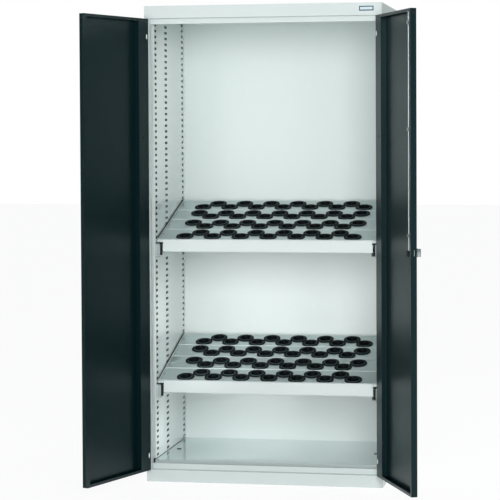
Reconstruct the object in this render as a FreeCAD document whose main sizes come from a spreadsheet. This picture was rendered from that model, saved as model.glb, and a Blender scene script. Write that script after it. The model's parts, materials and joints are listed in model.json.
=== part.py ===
"""Two-door CNC tool cabinet with two pull-out frames for tool holders, in millimetres.

X runs to the right, Y from the doors to the back, Z up. The origin is the centre of the
plinth's underside. The doors stand open, as the cabinet is shown in use.
"""
import FreeCAD, Part
import Sketcher
import os
import re

# Driving dimensions: name, millimetres or degrees, what it is
DIMENSIONS = (
    ("width", 1000, "overall width of the body"),
    ("depth", 650, "overall depth of the body"),
    ("height", 2000, "overall height of the body"),
    ("sheet", 1.5, "body sheet thickness"),
    ("plinth_height", 50, "height of the base frame"),
    ("plinth_ledge", 60, "width of the base frame's top ledge"),
    ("plinth_foot", 20, "width of the base frame's flat foot"),
    ("fascia_height", 52, "height of the roof cap's front and skirts"),
    ("post_width", 21, "front post, from the body's side to the opening"),
    ("post_setback", 5, "post face behind the body's front plane"),
    ("post_return", 30, "depth of the post's inward fold"),
    ("rear_flange", 25, "inward fold at the back of a side panel"),
    ("rail_setback", 28, "door stop rails behind the front plane"),
    ("rail_height", 23, "door stop rails, visible height"),
    ("rail_return", 32, "inward fold of the door stop rails"),
    ("wall_inset", 26, "perforated wall's inner face from the body's side"),
    ("wall_setback", 62, "perforated wall's front fold behind the front plane"),
    ("slot_pitch", 25, "vertical pitch of the wall slots"),
    ("slot_height", 10, "height of one wall slot"),
    ("slot_length", 28, "length of one wall slot"),
    ("first_slot", 100, "height of the lowest wall slot"),
    ("slot_front", 93, "front slot column behind the front plane"),
    ("slot_rear", 42, "rear slot column before the rear plane"),
    ("floor_height", 86, "top of the floor panel"),
    ("floor_setback", 42, "floor panel's front fold behind the front plane"),
    ("drain_inset", 31, "floor panel's drain slot from the wall"),
    ("drain_length", 20, "length of a drain slot"),
    ("drain_width", 6, "width of a drain slot"),
    ("hinge_inset", 5, "hinge axis inward of the body's side"),
    ("hinge_proud", 1.4, "hinge axis in front of the front plane"),
    ("knuckle", 4, "radius of a hinge knuckle"),
    ("pin_radius", 2, "radius of a hinge pin"),
    ("hinge_half", 32, "height of one hinge half"),
    ("hinge_leaf", 2.5, "thickness of a hinge leaf"),
    ("hinge_leaf_width", 11.5, "leaf on the post, from the hinge axis inwards"),
    ("upper_hinge", 144, "underside of the upper hinges below the body's top"),
    ("lower_hinge", 108, "underside of the lower hinges"),
    ("door_sheet", 1.2, "door sheet thickness"),
    ("door_thickness", 24.6, "door, from the outer face to the inner rim"),
    ("door_gap", 3, "gap between the doors, and above and below them"),
    ("door_edge", 18, "door tray's hinge side from the hinge axis"),
    ("door_rim", 12, "inward fold round the door tray"),
    ("stiffener_width", 62, "hinge side stiffener of a door"),
    ("strip_lap", 18, "how far the stop strip laps behind the other door"),
    ("left_open", 108.4, "left door's opening angle as shown"),
    ("right_open", 113.1, "right door's opening angle as shown"),
    ("lock_level", 1000, "height of the lock's axis"),
    ("lock_from_edge", 18.5, "lock's axis from the door's free edge"),
    ("case_width", 30, "lock case, from the lock's axis inwards"),
    ("case_height", 70, "height of the lock case"),
    ("bolt_depth", 9, "latch bolt behind the door's outer face"),
    ("handle_radius", 17, "rotary handle"),
    ("handle_length", 19, "rotary handle, outward of its rosette"),
    ("rosette", 3, "thickness of the handle's rosette"),
    ("spindle_radius", 3.5, "handle's spindle"),
    ("cam_radius", 13, "cam on the inner end of the spindle"),
    ("rod_travel", 15, "travel of the locking rod"),
    ("bolt_travel", 12, "travel of the latch bolt"),
    ("bolt_height", 22, "height of the latch bolt"),
    ("drive_pin", 1.6, "radius of the cam's pins"),
    ("rod_offset", 28, "locking rod from the lock's axis"),
    ("guide_height", 12, "height of a rod guide"),
    ("lock_plate", 2.5, "thickness of the cam, the bolt and the rod's foot"),
    ("rod_radius", 4, "locking rod"),
    ("rod_end", 2, "locking rod's tip below the door's upper end"),
    ("foot_height", 17, "height of the rod's foot"),
    ("clearance", 0.3, "running clearance of moving fits"),
    ("upper_row", 34, "wall slot of the upper brackets, counted from the lowest"),
    ("lower_row", 10, "wall slot of the lower brackets, counted from the lowest"),
    ("frame_over_slot", 15, "pull-out frame's underside above that slot"),
    ("frame_setback", 95, "pull-out frame's front behind the front plane"),
    ("frame_front", 51, "height of the pull-out frame's front"),
    ("slide_space", 27, "room for the slide beside a pull-out frame"),
    ("tilt", 16, "slope of the tool carriers"),
    ("rail_play", 3, "sloping top rail from the perforated wall"),
    ("rail_lip", 8, "upturned edge of the sloping top rail"),
    ("carrier_start", 3, "first carrier behind the front's top edge"),
    ("carrier_pitch", 132, "one tool carrier along the slope"),
    ("carrier_gap", 0.6, "gap between tool carriers"),
    ("carrier_flange", 20, "downward folds of a tool carrier"),
    ("row_centre", 62, "middle of a carrier's two rows from its front edge"),
    ("row_spacing", 48, "distance between a carrier's two rows along the slope"),
    ("long_row_count", 7, "sockets in a carrier's longer row"),
    ("short_row_count", 6, "sockets in a carrier's shorter row"),
    ("socket_pitch", 120, "distance between sockets in one row"),
    ("insert_flange", 35.5, "flange radius of a tool insert"),
    ("insert_body", 27, "half width of a tool insert's square body"),
    ("insert_bore", 23, "bore radius of a tool insert"),
    ("insert_rim", 5, "flange height of a tool insert"),
    ("insert_depth", 38, "body of a tool insert below the carrier"),
    ("slide_length", 505, "length of each slide member"),
    ("slide_height", 36, "height of the outer slide member"),
    ("slide_depth", 11, "width of each slide member's flanges"),
    ("slide_play", 2.5, "sideways play between slide members"),
    ("slide_axis", 15, "slides' middle above the frame's underside"),
    ("frame_fold", 15, "inward folds along the frame's lower edges"),
    ("bracket_height", 51, "height of a slide bracket"),
    ("bracket_drop", 17, "slide bracket below the frame's underside"),
    ("bracket_width", 30, "slide bracket's tray, from the wall inwards"),
    ("bracket_lip", 2, "bracket tray's upturned lip below the frame's underside"),
    ("hook_width", 16, "width of a bracket hook"),
    ("hook_drop", 6, "drop of a bracket hook behind its slot"),
)
VALUES = {name: value for name, value, _ in DIMENSIONS}

# Places that several pieces share, worked out from the sheet
FRONT = "(-depth / 2)"
REAR = "(depth / 2)"
PANEL = "(width / 2 - sheet)"
POST = "(width / 2 - post_width)"
WALL = "(width / 2 - wall_inset)"
HINGE_X = "(width / 2 - hinge_inset)"
HINGE_Y = f"({FRONT} - hinge_proud)"
CEILING = "(height - fascia_height)"
HINGE_LEVELS = ("(height - upper_hinge)", "lower_hinge")

# Places in a door, measured from its hinge axis towards the free edge and inwards
DOOR_FOOT = "(plinth_height + door_gap)"
DOOR_HEAD = f"({CEILING} - door_gap)"
DOOR_REACH = f"({HINGE_X} - door_gap / 2)"
DOOR_SKIN = "hinge_proud"
DOOR_BACK = "(hinge_proud + door_sheet)"
DOOR_INNER = "(hinge_proud + door_thickness)"
LOCK_X = f"({DOOR_REACH} - lock_from_edge)"
ROD_X = f"({LOCK_X} - rod_offset)"
BOLT_Y = "(hinge_proud + bolt_depth)"
CAM_Y = f"({BOLT_Y} + lock_plate + clearance)"
FOOT_Y = f"({CAM_Y} + lock_plate + clearance)"
ROD_Y = f"({FOOT_Y} + lock_plate)"

# Carriers that hold their longer row in front, counted from the frame's front
LONG_ROW_IN_FRONT = (True, False, False, True)
# How far a cam pin swings from its rest place, over half its travel
DIAGONAL = "sqrt(2)"
# An octagon's flats over its corners, and the corners of the bores round a shaft
FLATS = "cos(22.5 deg)"
SPINDLE_BORE = f"((spindle_radius + clearance) / {FLATS})"
ROD_BORE = f"((rod_radius + clearance) / {FLATS})"

# Places in a pull-out frame; the slope starts at its front's top edge
FRAME_FRONT = f"({FRONT} + frame_setback)"
FRAME_HALF = f"({WALL} - slide_space)"
RAIL_EDGE = f"({WALL} - rail_play)"
SLOPE_LENGTH = f"(carrier_start + {len(LONG_ROW_IN_FRONT)} * carrier_pitch)"
FRAME_BACK = f"({FRAME_FRONT} + {SLOPE_LENGTH} * cos(tilt) + carrier_flange * sin(tilt))"
OUTER_FACE = f"({WALL} - sheet)"
LEVELS = {
    "upper": "(first_slot + upper_row * slot_pitch + frame_over_slot)",
    "lower": "(first_slot + lower_row * slot_pitch + frame_over_slot)",
}
# Wall slots that the slide brackets hook into, and the two columns they are in
BRACKET_ROWS = ("upper_row", "(upper_row + 1)", "lower_row", "(lower_row + 1)")
SLOT_COLUMNS = ("slot_front", "(depth - slot_rear)")
SIDES = {"left": -1, "right": 1}

doc = FreeCAD.newDocument("cnc_tool_cabinet")
sizes = doc.addObject("Spreadsheet::Sheet", "Sizes")
nodes = []


def fill_sheet():
    """The driving dimensions, one row each: name, value, meaning."""
    for row, (name, value, meaning) in enumerate(DIMENSIONS, start=1):
        sizes.set(f"A{row}", name)
        sizes.set(f"B{row}", str(value))
        sizes.setAlias(f"B{row}", name)
        sizes.set(f"C{row}", meaning)
    doc.recompute()


def bound(text):
    """An expression with each dimension's name pointing at its cell."""
    def point(match):
        word = match.group(0)
        return f"Sizes.{word}" if word in VALUES else word
    text = text.replace("(tilt)", "(tilt * 1 deg)")
    return re.sub(r"[a-z_]+", point, text)


def bind(thing, prop, text):
    thing.setExpression(prop, bound(text))


def keep(thing, name):
    """Mark an object as a finished sub-part under the name of its file."""
    thing.Label = name
    nodes.append(thing)
    return thing


def place(thing, x="0", y="0", z="0", turn=None, axis=(0, 0, 1)):
    """Put an object at bound coordinates, turned by a bound angle about an axis."""
    for coordinate, text in zip("xyz", (x, y, z)):
        if text != "0":
            bind(thing, f"Placement.Base.{coordinate}", text)
    if turn:
        thing.Placement.Rotation = FreeCAD.Rotation(FreeCAD.Vector(*axis), 1)
        bind(thing, "Placement.Rotation.Angle", turn)
    return thing


def new_body(name):
    return doc.addObject("PartDesign::Body", name)


def datum(body, role):
    return next(item for item in body.Origin.OriginFeatures if item.Role == role)


def new_sketch(body, plane, offset=None):
    """A sketch on one of the body's own origin planes, moved along its normal by offset."""
    sketch = body.newObject("Sketcher::SketchObject", "Outline")
    sketch.AttachmentSupport = [(datum(body, plane), "")]
    sketch.MapMode = "FlatFace"
    if offset:
        bind(sketch, "AttachmentOffset.Base.z", offset)
    return sketch


def fix_point(sketch, edge, end, x, y):
    for kind, text in (("DistanceX", x), ("DistanceY", y)):
        row = sketch.addConstraint(Sketcher.Constraint(kind, -1, 1, edge, end, 1.0))
        bind(sketch, f"Constraints[{row}]", text)


def outline(body, plane, *loops, offset=None):
    """Closed outlines through bound corner points."""
    sketch = new_sketch(body, plane, offset)
    for corners in loops:
        first = sketch.GeometryCount
        count = len(corners)
        for step in range(count):
            start = FreeCAD.Vector(step, step * step, 0)
            end = FreeCAD.Vector(step + 1, (step + 1) ** 2, 0)
            sketch.addGeometry(Part.LineSegment(start, end))
        for step in range(count):
            following = first + (step + 1) % count
            sketch.addConstraint(Sketcher.Constraint("Coincident", first + step, 2, following, 1))
        for step, (x, y) in enumerate(corners):
            fix_point(sketch, first + step, 1, x, y)
    return sketch


def rectangle(x0, y0, x1, y1):
    return [(x0, y0), (x1, y0), (x1, y1), (x0, y1)]


def octagon(radius, x="0", y="0"):
    """Corners of a regular octagon round a bound point, its corners at a bound radius."""
    turns = [f"({45 * step} deg + 22.5 deg)" for step in range(8)]
    return [(f"{x} + {radius} * cos{turn}", f"{y} + {radius} * sin{turn}") for turn in turns]


def pad(body, sketch, length, midplane=False, back=False):
    feature = body.newObject("PartDesign::Pad", "Pad")
    feature.Profile = sketch
    feature.Midplane = midplane
    feature.Reversed = back
    feature.Refine = True
    bind(feature, "Length", length)
    return feature


def cut_through(body, sketch):
    feature = body.newObject("PartDesign::Pocket", "Pocket")
    feature.Profile = sketch
    feature.Type = "ThroughAll"
    feature.Midplane = True
    return feature


def repeat(body, feature, axis, count, spacing):
    """Copies of a feature in a row along one of the body's own axes."""
    pattern = body.newObject("PartDesign::LinearPattern", "Row")
    pattern.Originals = [feature]
    pattern.Direction = (datum(body, axis), [""])
    pattern.Mode = "Spacing"
    bind(pattern, "Offset", spacing)
    bind(pattern, "Occurrences", count)
    body.Tip = pattern
    return pattern


def block(x0, y0, z0, x1, y1, z1):
    """A plain bar between two bound corners."""
    bar = doc.addObject("Part::Box", "Bar")
    bind(bar, "Length", f"({x1}) - ({x0})")
    bind(bar, "Width", f"({y1}) - ({y0})")
    bind(bar, "Height", f"({z1}) - ({z0})")
    return place(bar, x0, y0, z0)


def rod(x, y, z, radius, length, turn=None, axis=(1, 0, 0)):
    """A round bar from a bound point, along Z unless it is turned."""
    bar = doc.addObject("Part::Cylinder", "Round")
    bind(bar, "Radius", radius)
    bind(bar, "Height", length)
    return place(bar, x, y, z, turn, axis)


def prism(x, y, z, corner, length, turn=None, axis=(1, 0, 0)):
    """An eight-sided bar of a bound corner radius, for bores and small rounds."""
    bar = doc.addObject("Part::Prism", "Octagon")
    bar.Polygon = 8
    bind(bar, "Circumradius", corner)
    bind(bar, "Height", length)
    return place(bar, x, y, z, turn, axis)


def joined(*pieces):
    whole = doc.addObject("Part::MultiFuse", "Joined")
    whole.Shapes = list(pieces)
    whole.Refine = True
    return whole


def less(base, *tools):
    result = base
    for tool in tools:
        trimmed = doc.addObject("Part::Cut", "Trimmed")
        trimmed.Base = result
        trimmed.Tool = tool
        trimmed.Refine = True
        result = trimmed
    return result


def group(name, *pieces):
    """Several separate solids kept as one node."""
    whole = doc.addObject("Part::Compound", name)
    whole.Links = list(pieces)
    return keep(whole, name)


def mirrored(thing):
    """The same piece on the other side of the cabinet."""
    twin = doc.addObject("Part::Mirroring", "Twin")
    twin.Source = thing
    twin.Normal = FreeCAD.Vector(1, 0, 0)
    return twin


def plinth():
    """Base frame: a C section all round, with a ledge on top and a flat foot below."""
    body = new_body("plinth")
    rim = rectangle("-width / 2", FRONT, "width / 2", REAR)

    def inside(step):
        return rectangle(f"{step} - width / 2", f"{FRONT} + {step}", f"width / 2 - {step}", f"{REAR} - {step}")

    pad(body, outline(body, "XY_Plane", rim, inside("sheet")), "plinth_height")
    pad(body, outline(body, "XY_Plane", rim, inside("plinth_foot")), "sheet")
    ledge = outline(body, "XY_Plane", rim, inside("plinth_ledge"), offset="plinth_height - sheet")
    pad(body, ledge, "sheet")
    keep(body, "plinth")


def side_panel(name, side):
    """Side sheet with the folded front post and the rear flange, as one profile."""
    body = new_body(name)
    outer = f"{side} * {PANEL}"
    inner = f"{side} * ({PANEL} - sheet)"
    post = f"{side} * {POST}"
    post_inside = f"{side} * ({POST} + sheet)"
    flange = f"{side} * ({PANEL} - rear_flange)"
    face = f"{FRONT} + post_setback"
    back = f"{REAR} - sheet"
    profile = [
        (outer, face), (outer, back), (flange, back), (flange, f"{back} - sheet"),
        (inner, f"{back} - sheet"), (inner, f"{face} + sheet"), (post_inside, f"{face} + sheet"),
        (post_inside, f"{face} + post_return"), (post, f"{face} + post_return"), (post, face),
    ]
    pad(body, outline(body, "XY_Plane", profile), "height - sheet - plinth_height")
    place(body, z="plinth_height")
    keep(body, name)


def perforated_wall(name, side):
    """Inner wall with folded ends and the slots that the slide brackets hook into."""
    body = new_body(name)
    face = f"{side} * {WALL}"
    outside = f"{side} * ({WALL} + sheet)"
    panel = f"{side} * ({PANEL} - sheet)"
    start = f"{FRONT} + wall_setback"
    end = f"{REAR} - 3 * sheet"
    profile = [
        (face, start), (panel, start), (panel, f"{start} + sheet"), (outside, f"{start} + sheet"),
        (outside, f"{end} - sheet"), (panel, f"{end} - sheet"), (panel, end), (face, end),
    ]
    pad(body, outline(body, "XY_Plane", profile), "height - sheet - plinth_height")

    def slot(at, row):
        middle = f"(first_slot + {row} * slot_pitch - plinth_height)"
        return rectangle(
            f"{FRONT} + {at} - slot_length / 2", f"{middle} - slot_height / 2",
            f"{FRONT} + {at} + slot_length / 2", f"{middle} + slot_height / 2",
        )

    slots = [slot(at, row) for at in SLOT_COLUMNS for row in BRACKET_ROWS]
    cut_through(body, outline(body, "YZ_Plane", *slots))
    place(body, z="plinth_height")
    keep(body, name)


def back_panel():
    sheet_end = f"{REAR} - 2 * sheet"
    half = f"({PANEL} - sheet)"
    panel = block(f"-{half}", f"{sheet_end} - sheet", "plinth_height", half, sheet_end, "height - sheet")
    keep(panel, "back_panel")


def roof_cap():
    """Inverted tray with the fascia in front, and the ledge that takes the locking rod."""
    body = new_body("roof_cap")
    section = [
        (FRONT, CEILING), (FRONT, "height"), (REAR, "height"), (REAR, CEILING),
        (f"{REAR} - sheet", CEILING), (f"{REAR} - sheet", "height - sheet"),
        (f"{FRONT} + sheet", "height - sheet"), (f"{FRONT} + sheet", CEILING),
    ]
    pad(body, outline(body, "YZ_Plane", section), "width", midplane=True)
    skirts = [
        rectangle("-width / 2", FRONT, f"-{PANEL}", REAR),
        rectangle(PANEL, FRONT, "width / 2", REAR),
    ]
    pad(body, outline(body, "XY_Plane", *skirts, offset=CEILING), "fascia_height")
    ledge = rectangle(f"-{POST}", f"{FRONT} + sheet / 2", POST, f"{FRONT} + rail_setback + sheet")
    pad(body, outline(body, "XY_Plane", ledge, offset=CEILING), "sheet")
    keeper = octagon("(rod_radius + 4 * clearance)", f"{HINGE_X} - {ROD_X}", f"{HINGE_Y} + {ROD_Y}")
    hole = outline(body, "XY_Plane", keeper, offset=CEILING)
    pocket = body.newObject("PartDesign::Pocket", "Keeper")
    pocket.Profile = hole
    pocket.Reversed = True
    bind(pocket, "Length", "2 * sheet")
    keep(body, "roof_cap")


def stop_rail(name, low, high, fold):
    """Strip that the doors close against, with one edge folded into the cabinet."""
    body = new_body(name)
    face = f"{FRONT} + rail_setback"
    inner = f"{face} + sheet"
    deep = f"{face} + rail_return"
    if fold == "top":
        section = [(face, low), (face, high), (deep, high), (deep, f"{high} - sheet"),
                   (inner, f"{high} - sheet"), (inner, low)]
    else:
        section = [(face, low), (face, high), (inner, high), (inner, f"{low} + sheet"),
                   (deep, f"{low} + sheet"), (deep, low)]
    pad(body, outline(body, "YZ_Plane", section), f"2 * {POST}", midplane=True)
    keep(body, name)


def floor_panel():
    """Raised floor: a folded tray upside down on the plinth's ledge and the lower rail."""
    body = new_body("floor_panel")
    half = f"({WALL} - clearance)"
    start = f"{FRONT} + floor_setback"
    end = f"{REAR} - 3 * sheet - clearance"
    rail_top = "plinth_height + rail_height"
    section = [
        (start, rail_top), (start, "floor_height"), (end, "floor_height"), (end, "plinth_height"),
        (f"{end} - sheet", "plinth_height"), (f"{end} - sheet", "floor_height - sheet"),
        (f"{start} + sheet", "floor_height - sheet"), (f"{start} + sheet", rail_top),
    ]
    pad(body, outline(body, "YZ_Plane", section), f"2 * {half}", midplane=True)
    fold_start = f"{FRONT} + wall_setback"
    folds = [
        rectangle(f"-{half}", fold_start, f"sheet - {half}", end),
        rectangle(f"{half} - sheet", fold_start, half, end),
    ]
    sides = outline(body, "XY_Plane", *folds, offset="plinth_height")
    pad(body, sides, "floor_height - plinth_height - sheet / 2")
    drains = [
        rectangle("drain_inset - " + WALL, "-drain_width / 2", f"drain_inset + drain_length - {WALL}",
                  "drain_width / 2"),
        rectangle(f"{WALL} - drain_inset - drain_length", "-drain_width / 2", f"{WALL} - drain_inset",
                  "drain_width / 2"),
    ]
    cut_through(body, outline(body, "XY_Plane", *drains, offset="floor_height"))
    keep(body, "floor_panel")


def knuckle_half(x, y, z, leaf):
    """One half of a lift-off hinge: its leaf and its knuckle, bored for the pin."""
    barrel = prism(x, y, z, "knuckle", "hinge_half")
    bore = prism(x, y, z, f"(pin_radius + clearance / 2) / {FLATS}", "hinge_half")
    return less(joined(barrel, leaf), bore)


def body_hinges():
    """The cabinet's halves of the four hinges, on the posts, and their pins."""
    halves = []
    pins = []
    for level in HINGE_LEVELS:
        for side in (-1, 1):
            near, far = f"{HINGE_X} - hinge_leaf_width", f"{HINGE_X} + hinge_leaf / 2"
            if side < 0:
                near, far = f"-({far})", f"-({near})"
            face = f"{FRONT} + post_setback"
            leaf = block(near, f"{FRONT} + door_sheet + clearance", level, far, face, f"{level} + hinge_half")
            halves.append(knuckle_half(f"{side} * {HINGE_X}", HINGE_Y, level, leaf))
            pins.append(rod(f"{side} * {HINGE_X}", HINGE_Y, level, "pin_radius", "2 * hinge_half + 1"))
    group("body_hinge_leaves", *halves)
    group("hinge_pins", *pins)


def on_door(thing, side):
    """Turn a piece that is drawn about the hinge axis to the door's open place."""
    turn = "-left_open" if side > 0 else "right_open"
    return place(thing, f"{-side} * {HINGE_X}", HINGE_Y, "0", turn)


def door_panel(name, side):
    """Door tray: skin with a lip over the post, folded walls and an inner rim."""
    body = new_body(name)

    def along(text):
        return f"{side} * ({text})"

    lip = along("knuckle + clearance + 0.2")
    hinge_wall, hinge_inside = along("door_edge"), along("door_edge + door_sheet")
    hinge_rim = along("door_edge + door_rim")
    free_wall, free_inside = along(DOOR_REACH), along(f"{DOOR_REACH} - door_sheet")
    free_rim = along(f"{DOOR_REACH} - door_rim")
    rim_back = f"{DOOR_INNER} - door_sheet"
    section = [
        (lip, DOOR_SKIN), (free_wall, DOOR_SKIN), (free_wall, DOOR_INNER), (free_rim, DOOR_INNER),
        (free_rim, rim_back), (free_inside, rim_back), (free_inside, DOOR_BACK),
        (hinge_inside, DOOR_BACK), (hinge_inside, rim_back), (hinge_rim, rim_back),
        (hinge_rim, DOOR_INNER), (hinge_wall, DOOR_INNER), (hinge_wall, DOOR_BACK), (lip, DOOR_BACK),
    ]
    tall = outline(body, "XY_Plane", section, offset=DOOR_FOOT)
    pad(body, tall, f"{DOOR_HEAD} - {DOOR_FOOT}")
    ends = []
    for edge, inward in ((DOOR_FOOT, "+"), (DOOR_HEAD, "-")):
        plate = f"{edge} {inward} door_sheet"
        rim = f"{edge} {inward} door_rim"
        ends.append([(DOOR_SKIN, edge), (DOOR_INNER, edge), (DOOR_INNER, rim), (rim_back, rim),
                     (rim_back, plate), (DOOR_SKIN, plate)])
    folds = outline(body, "YZ_Plane", *ends, offset=hinge_wall)
    pad(body, folds, f"{DOOR_REACH} - door_edge", back=side < 0)
    half_slot = "(bolt_height / 2 + 2 * clearance)"
    slot = rectangle(
        f"{BOLT_Y} - 2 * clearance", f"lock_level - {half_slot}",
        f"{BOLT_Y} + lock_plate + 2 * clearance", f"lock_level + {half_slot}",
    )
    window = body.newObject("PartDesign::Pocket", "Bolt_slot")
    window.Profile = outline(body, "YZ_Plane", slot, offset=free_wall)
    window.Reversed = side < 0
    bind(window, "Length", "2 * door_sheet")
    if side < 0:
        spindle = outline(body, "XZ_Plane", octagon(SPINDLE_BORE, along(LOCK_X), "lock_level"))
        hole = body.newObject("PartDesign::Pocket", "Spindle_hole")
        hole.Profile = spindle
        bind(hole, "Length", "hinge_proud + 2 * door_sheet")
        rod_way = outline(body, "XY_Plane", octagon(ROD_BORE, along(ROD_X), ROD_Y), offset=DOOR_HEAD)
        head_hole = body.newObject("PartDesign::Pocket", "Rod_hole")
        head_hole.Profile = rod_way
        bind(head_hole, "Length", "2 * door_sheet")
    keep(on_door(body, side), name)


def door_stiffener(name, side):
    """Hat channel behind the skin along the hinge side."""
    body = new_body(name)
    near = f"{side} * (door_edge + door_rim + clearance)"
    near_in = f"{side} * (door_edge + door_rim + clearance + door_sheet)"
    far = f"{side} * (door_edge + door_rim + stiffener_width)"
    far_in = f"{side} * (door_edge + door_rim + stiffener_width - door_sheet)"
    web = f"{DOOR_INNER} - door_sheet"
    section = [
        (near, DOOR_BACK), (near, DOOR_INNER), (far, DOOR_INNER), (far, DOOR_BACK),
        (far_in, DOOR_BACK), (far_in, web), (near_in, web), (near_in, DOOR_BACK),
    ]
    start = f"{DOOR_FOOT} + door_rim + clearance"
    pad(body, outline(body, "XY_Plane", section, offset=start),
        f"{DOOR_HEAD} - {DOOR_FOOT} - 2 * (door_rim + clearance)")
    keep(on_door(body, side), name)


def stop_strip():
    """Strip on the left door's rim that laps behind the right door."""
    body = new_body("left_door_stop_strip")
    root = f"{DOOR_REACH} - door_rim"
    tip = f"{DOOR_REACH} + strip_lap"
    back = f"{DOOR_INNER} + 1.6 * sheet"
    section = [
        (root, DOOR_INNER), (DOOR_REACH, DOOR_INNER), (DOOR_REACH, f"{DOOR_INNER} + clearance"),
        (tip, f"{DOOR_INNER} + clearance"), (tip, back), (root, back),
    ]
    start = f"{DOOR_FOOT} + door_rim / 2"
    pad(body, outline(body, "XY_Plane", section, offset=start), f"{DOOR_HEAD} - {DOOR_FOOT} - door_rim")
    keep(on_door(body, 1), "left_door_stop_strip")


def door_hinges(name, side):
    """The door's hinge halves, which lift off the cabinet's halves."""
    halves = []
    for level in HINGE_LEVELS:
        base = f"({level} + hinge_half + clearance)"
        near, far = "knuckle / 2", f"door_edge - clearance"
        if side < 0:
            near, far = f"-({far})", f"-({near})"
        leaf = block(near, DOOR_BACK, base, far, f"{DOOR_BACK} + hinge_leaf", f"{base} + hinge_half")
        halves.append(on_door(knuckle_half("0", "0", base, leaf), side))
    group(name, *halves)


def turned(thing):
    return on_door(thing, -1)


def across(shape, x, y, z, radius, length):
    """A round or eight-sided bar through the right door, from its outer side inwards."""
    return shape(x, y, z, radius, length, "-90", (1, 0, 0))


def lock_case():
    """Flat housing on the skin's back, bored for the spindle."""
    case = block(
        f"-({DOOR_REACH} - door_sheet - clearance)", DOOR_BACK, "lock_level - case_height / 2",
        f"-({LOCK_X} - case_width)", f"{BOLT_Y} - clearance", "lock_level + case_height / 2",
    )
    bore = across(prism, f"-{LOCK_X}", "0", "lock_level", SPINDLE_BORE, "door_thickness")
    keep(turned(less(case, bore)), "lock_case")


def lock_rosette():
    disc = across(rod, f"-{LOCK_X}", "hinge_proud - rosette", "lock_level", "handle_radius + rosette", "rosette")
    bore = across(prism, f"-{LOCK_X}", "-handle_length", "lock_level", SPINDLE_BORE, "2 * handle_length")
    keep(turned(less(disc, bore)), "lock_rosette")


def lock_handle():
    """Rotary handle: a knob with a grip bar across it, on its spindle."""
    seat = "(hinge_proud - rosette - clearance)"
    knob = across(
        rod, f"-{LOCK_X}", f"{seat} - handle_length / 3", "lock_level", "handle_radius", "handle_length / 3")
    grip = block(
        f"-{LOCK_X} - handle_radius / 3", f"{seat} - handle_length", "lock_level - handle_radius * 0.9",
        f"handle_radius / 3 - {LOCK_X}", f"{seat} - handle_length / 4", "lock_level + handle_radius * 0.9",
    )
    spindle = across(
        prism, f"-{LOCK_X}", f"{seat} - handle_length / 4", "lock_level", "spindle_radius",
        f"{CAM_Y} - {seat} + handle_length / 4")
    keep(turned(joined(knob, grip, spindle)), "lock_handle")


def lock_cam():
    """Cam on the spindle's end: a pin behind it lifts the rod, a pin before it moves the bolt."""
    disc = across(prism, f"-{LOCK_X}", CAM_Y, "lock_level", "cam_radius", "lock_plate")
    rod_pin = across(
        prism, f"rod_travel / 2 - {LOCK_X}", f"{CAM_Y} + lock_plate / 2", "lock_level - rod_travel / 2",
        "drive_pin", "1.5 * lock_plate + clearance",
    )
    bolt_pin = across(
        prism, f"bolt_travel / 2 - {LOCK_X}", BOLT_Y, "lock_level + bolt_travel / 2",
        "drive_pin", "1.5 * lock_plate + clearance",
    )
    keep(turned(joined(disc, rod_pin, bolt_pin)), "lock_cam")


def locking_rod():
    """Round rod with a slotted foot that rides on the cam's rear pin."""
    play = "(drive_pin + 2 * clearance)"
    reach = f"(rod_travel / 2 * {DIAGONAL})"
    middle = "(lock_level - rod_travel / 2)"
    foot = block(
        f"cam_radius / 3 - {LOCK_X}", FOOT_Y, f"{middle} - foot_height / 2",
        f"1.5 * rod_radius - {ROD_X}", f"{FOOT_Y} + lock_plate", f"{middle} + foot_height / 2",
    )
    slot = block(
        f"rod_travel / 2 - {LOCK_X} - {play}", f"{FOOT_Y} - 1", f"{middle} - {play}",
        f"{reach} - {LOCK_X} + {play}", f"{FOOT_Y} + lock_plate + 1", f"{middle} + {play}",
    )
    foot_low = f"({middle} - foot_height / 2)"
    bar = rod(f"-{ROD_X}", ROD_Y, foot_low, "rod_radius", f"{DOOR_HEAD} - rod_end - {foot_low}")
    keep(turned(joined(less(foot, slot), bar)), "locking_rod")


def latch_bolt():
    """Flat bolt with an arm over the spindle, notched for the cam's front pin."""
    play = "(drive_pin + 2 * clearance)"
    inner = f"-({LOCK_X} + spindle_radius + 2 * clearance)"
    back = f"{BOLT_Y} + lock_plate"
    rise = f"lock_level + bolt_travel / 2 * {DIAGONAL}"
    plate = block(
        f"-({DOOR_REACH} - clearance)", BOLT_Y, "lock_level - bolt_height / 2",
        inner, back, "lock_level + bolt_height / 2",
    )
    arm = block(
        f"{inner} - 1", BOLT_Y, "lock_level + spindle_radius + 2 * clearance",
        f"bolt_travel / 2 + {play} + sheet - {LOCK_X}", back, f"{rise} + {play} + sheet",
    )
    notch = block(
        f"bolt_travel / 2 - {LOCK_X} - {play}", f"{BOLT_Y} - 1", "lock_level",
        f"bolt_travel / 2 - {LOCK_X} + {play}", f"{back} + 1", f"{rise} + {play}",
    )
    keep(turned(joined(plate, less(arm, notch))), "latch_bolt")


def rod_guides():
    """Bored blocks that hold the locking rod off the skin."""
    guides = []
    top = f"{DOOR_HEAD} - 5 * guide_height"
    low = "lock_level + 5 * guide_height"
    for level in (low, f"(({low}) + ({top})) / 2", top):
        brick = block(
            f"-({ROD_X} + 2 * rod_radius)", DOOR_BACK, level,
            f"2 * rod_radius - {ROD_X}", f"{ROD_Y} + 1.5 * rod_radius", f"{level} + guide_height",
        )
        bore = prism(f"-{ROD_X}", ROD_Y, f"{level} - 1", ROD_BORE, "guide_height + 2")
        guides.append(turned(less(brick, bore)))
    group("rod_guides", *guides)


def along_y(body, corners, start, end):
    """A bar of constant section along Y."""
    return pad(body, outline(body, "XZ_Plane", corners, offset=f"-({end})"), f"({end}) - ({start})")


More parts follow.
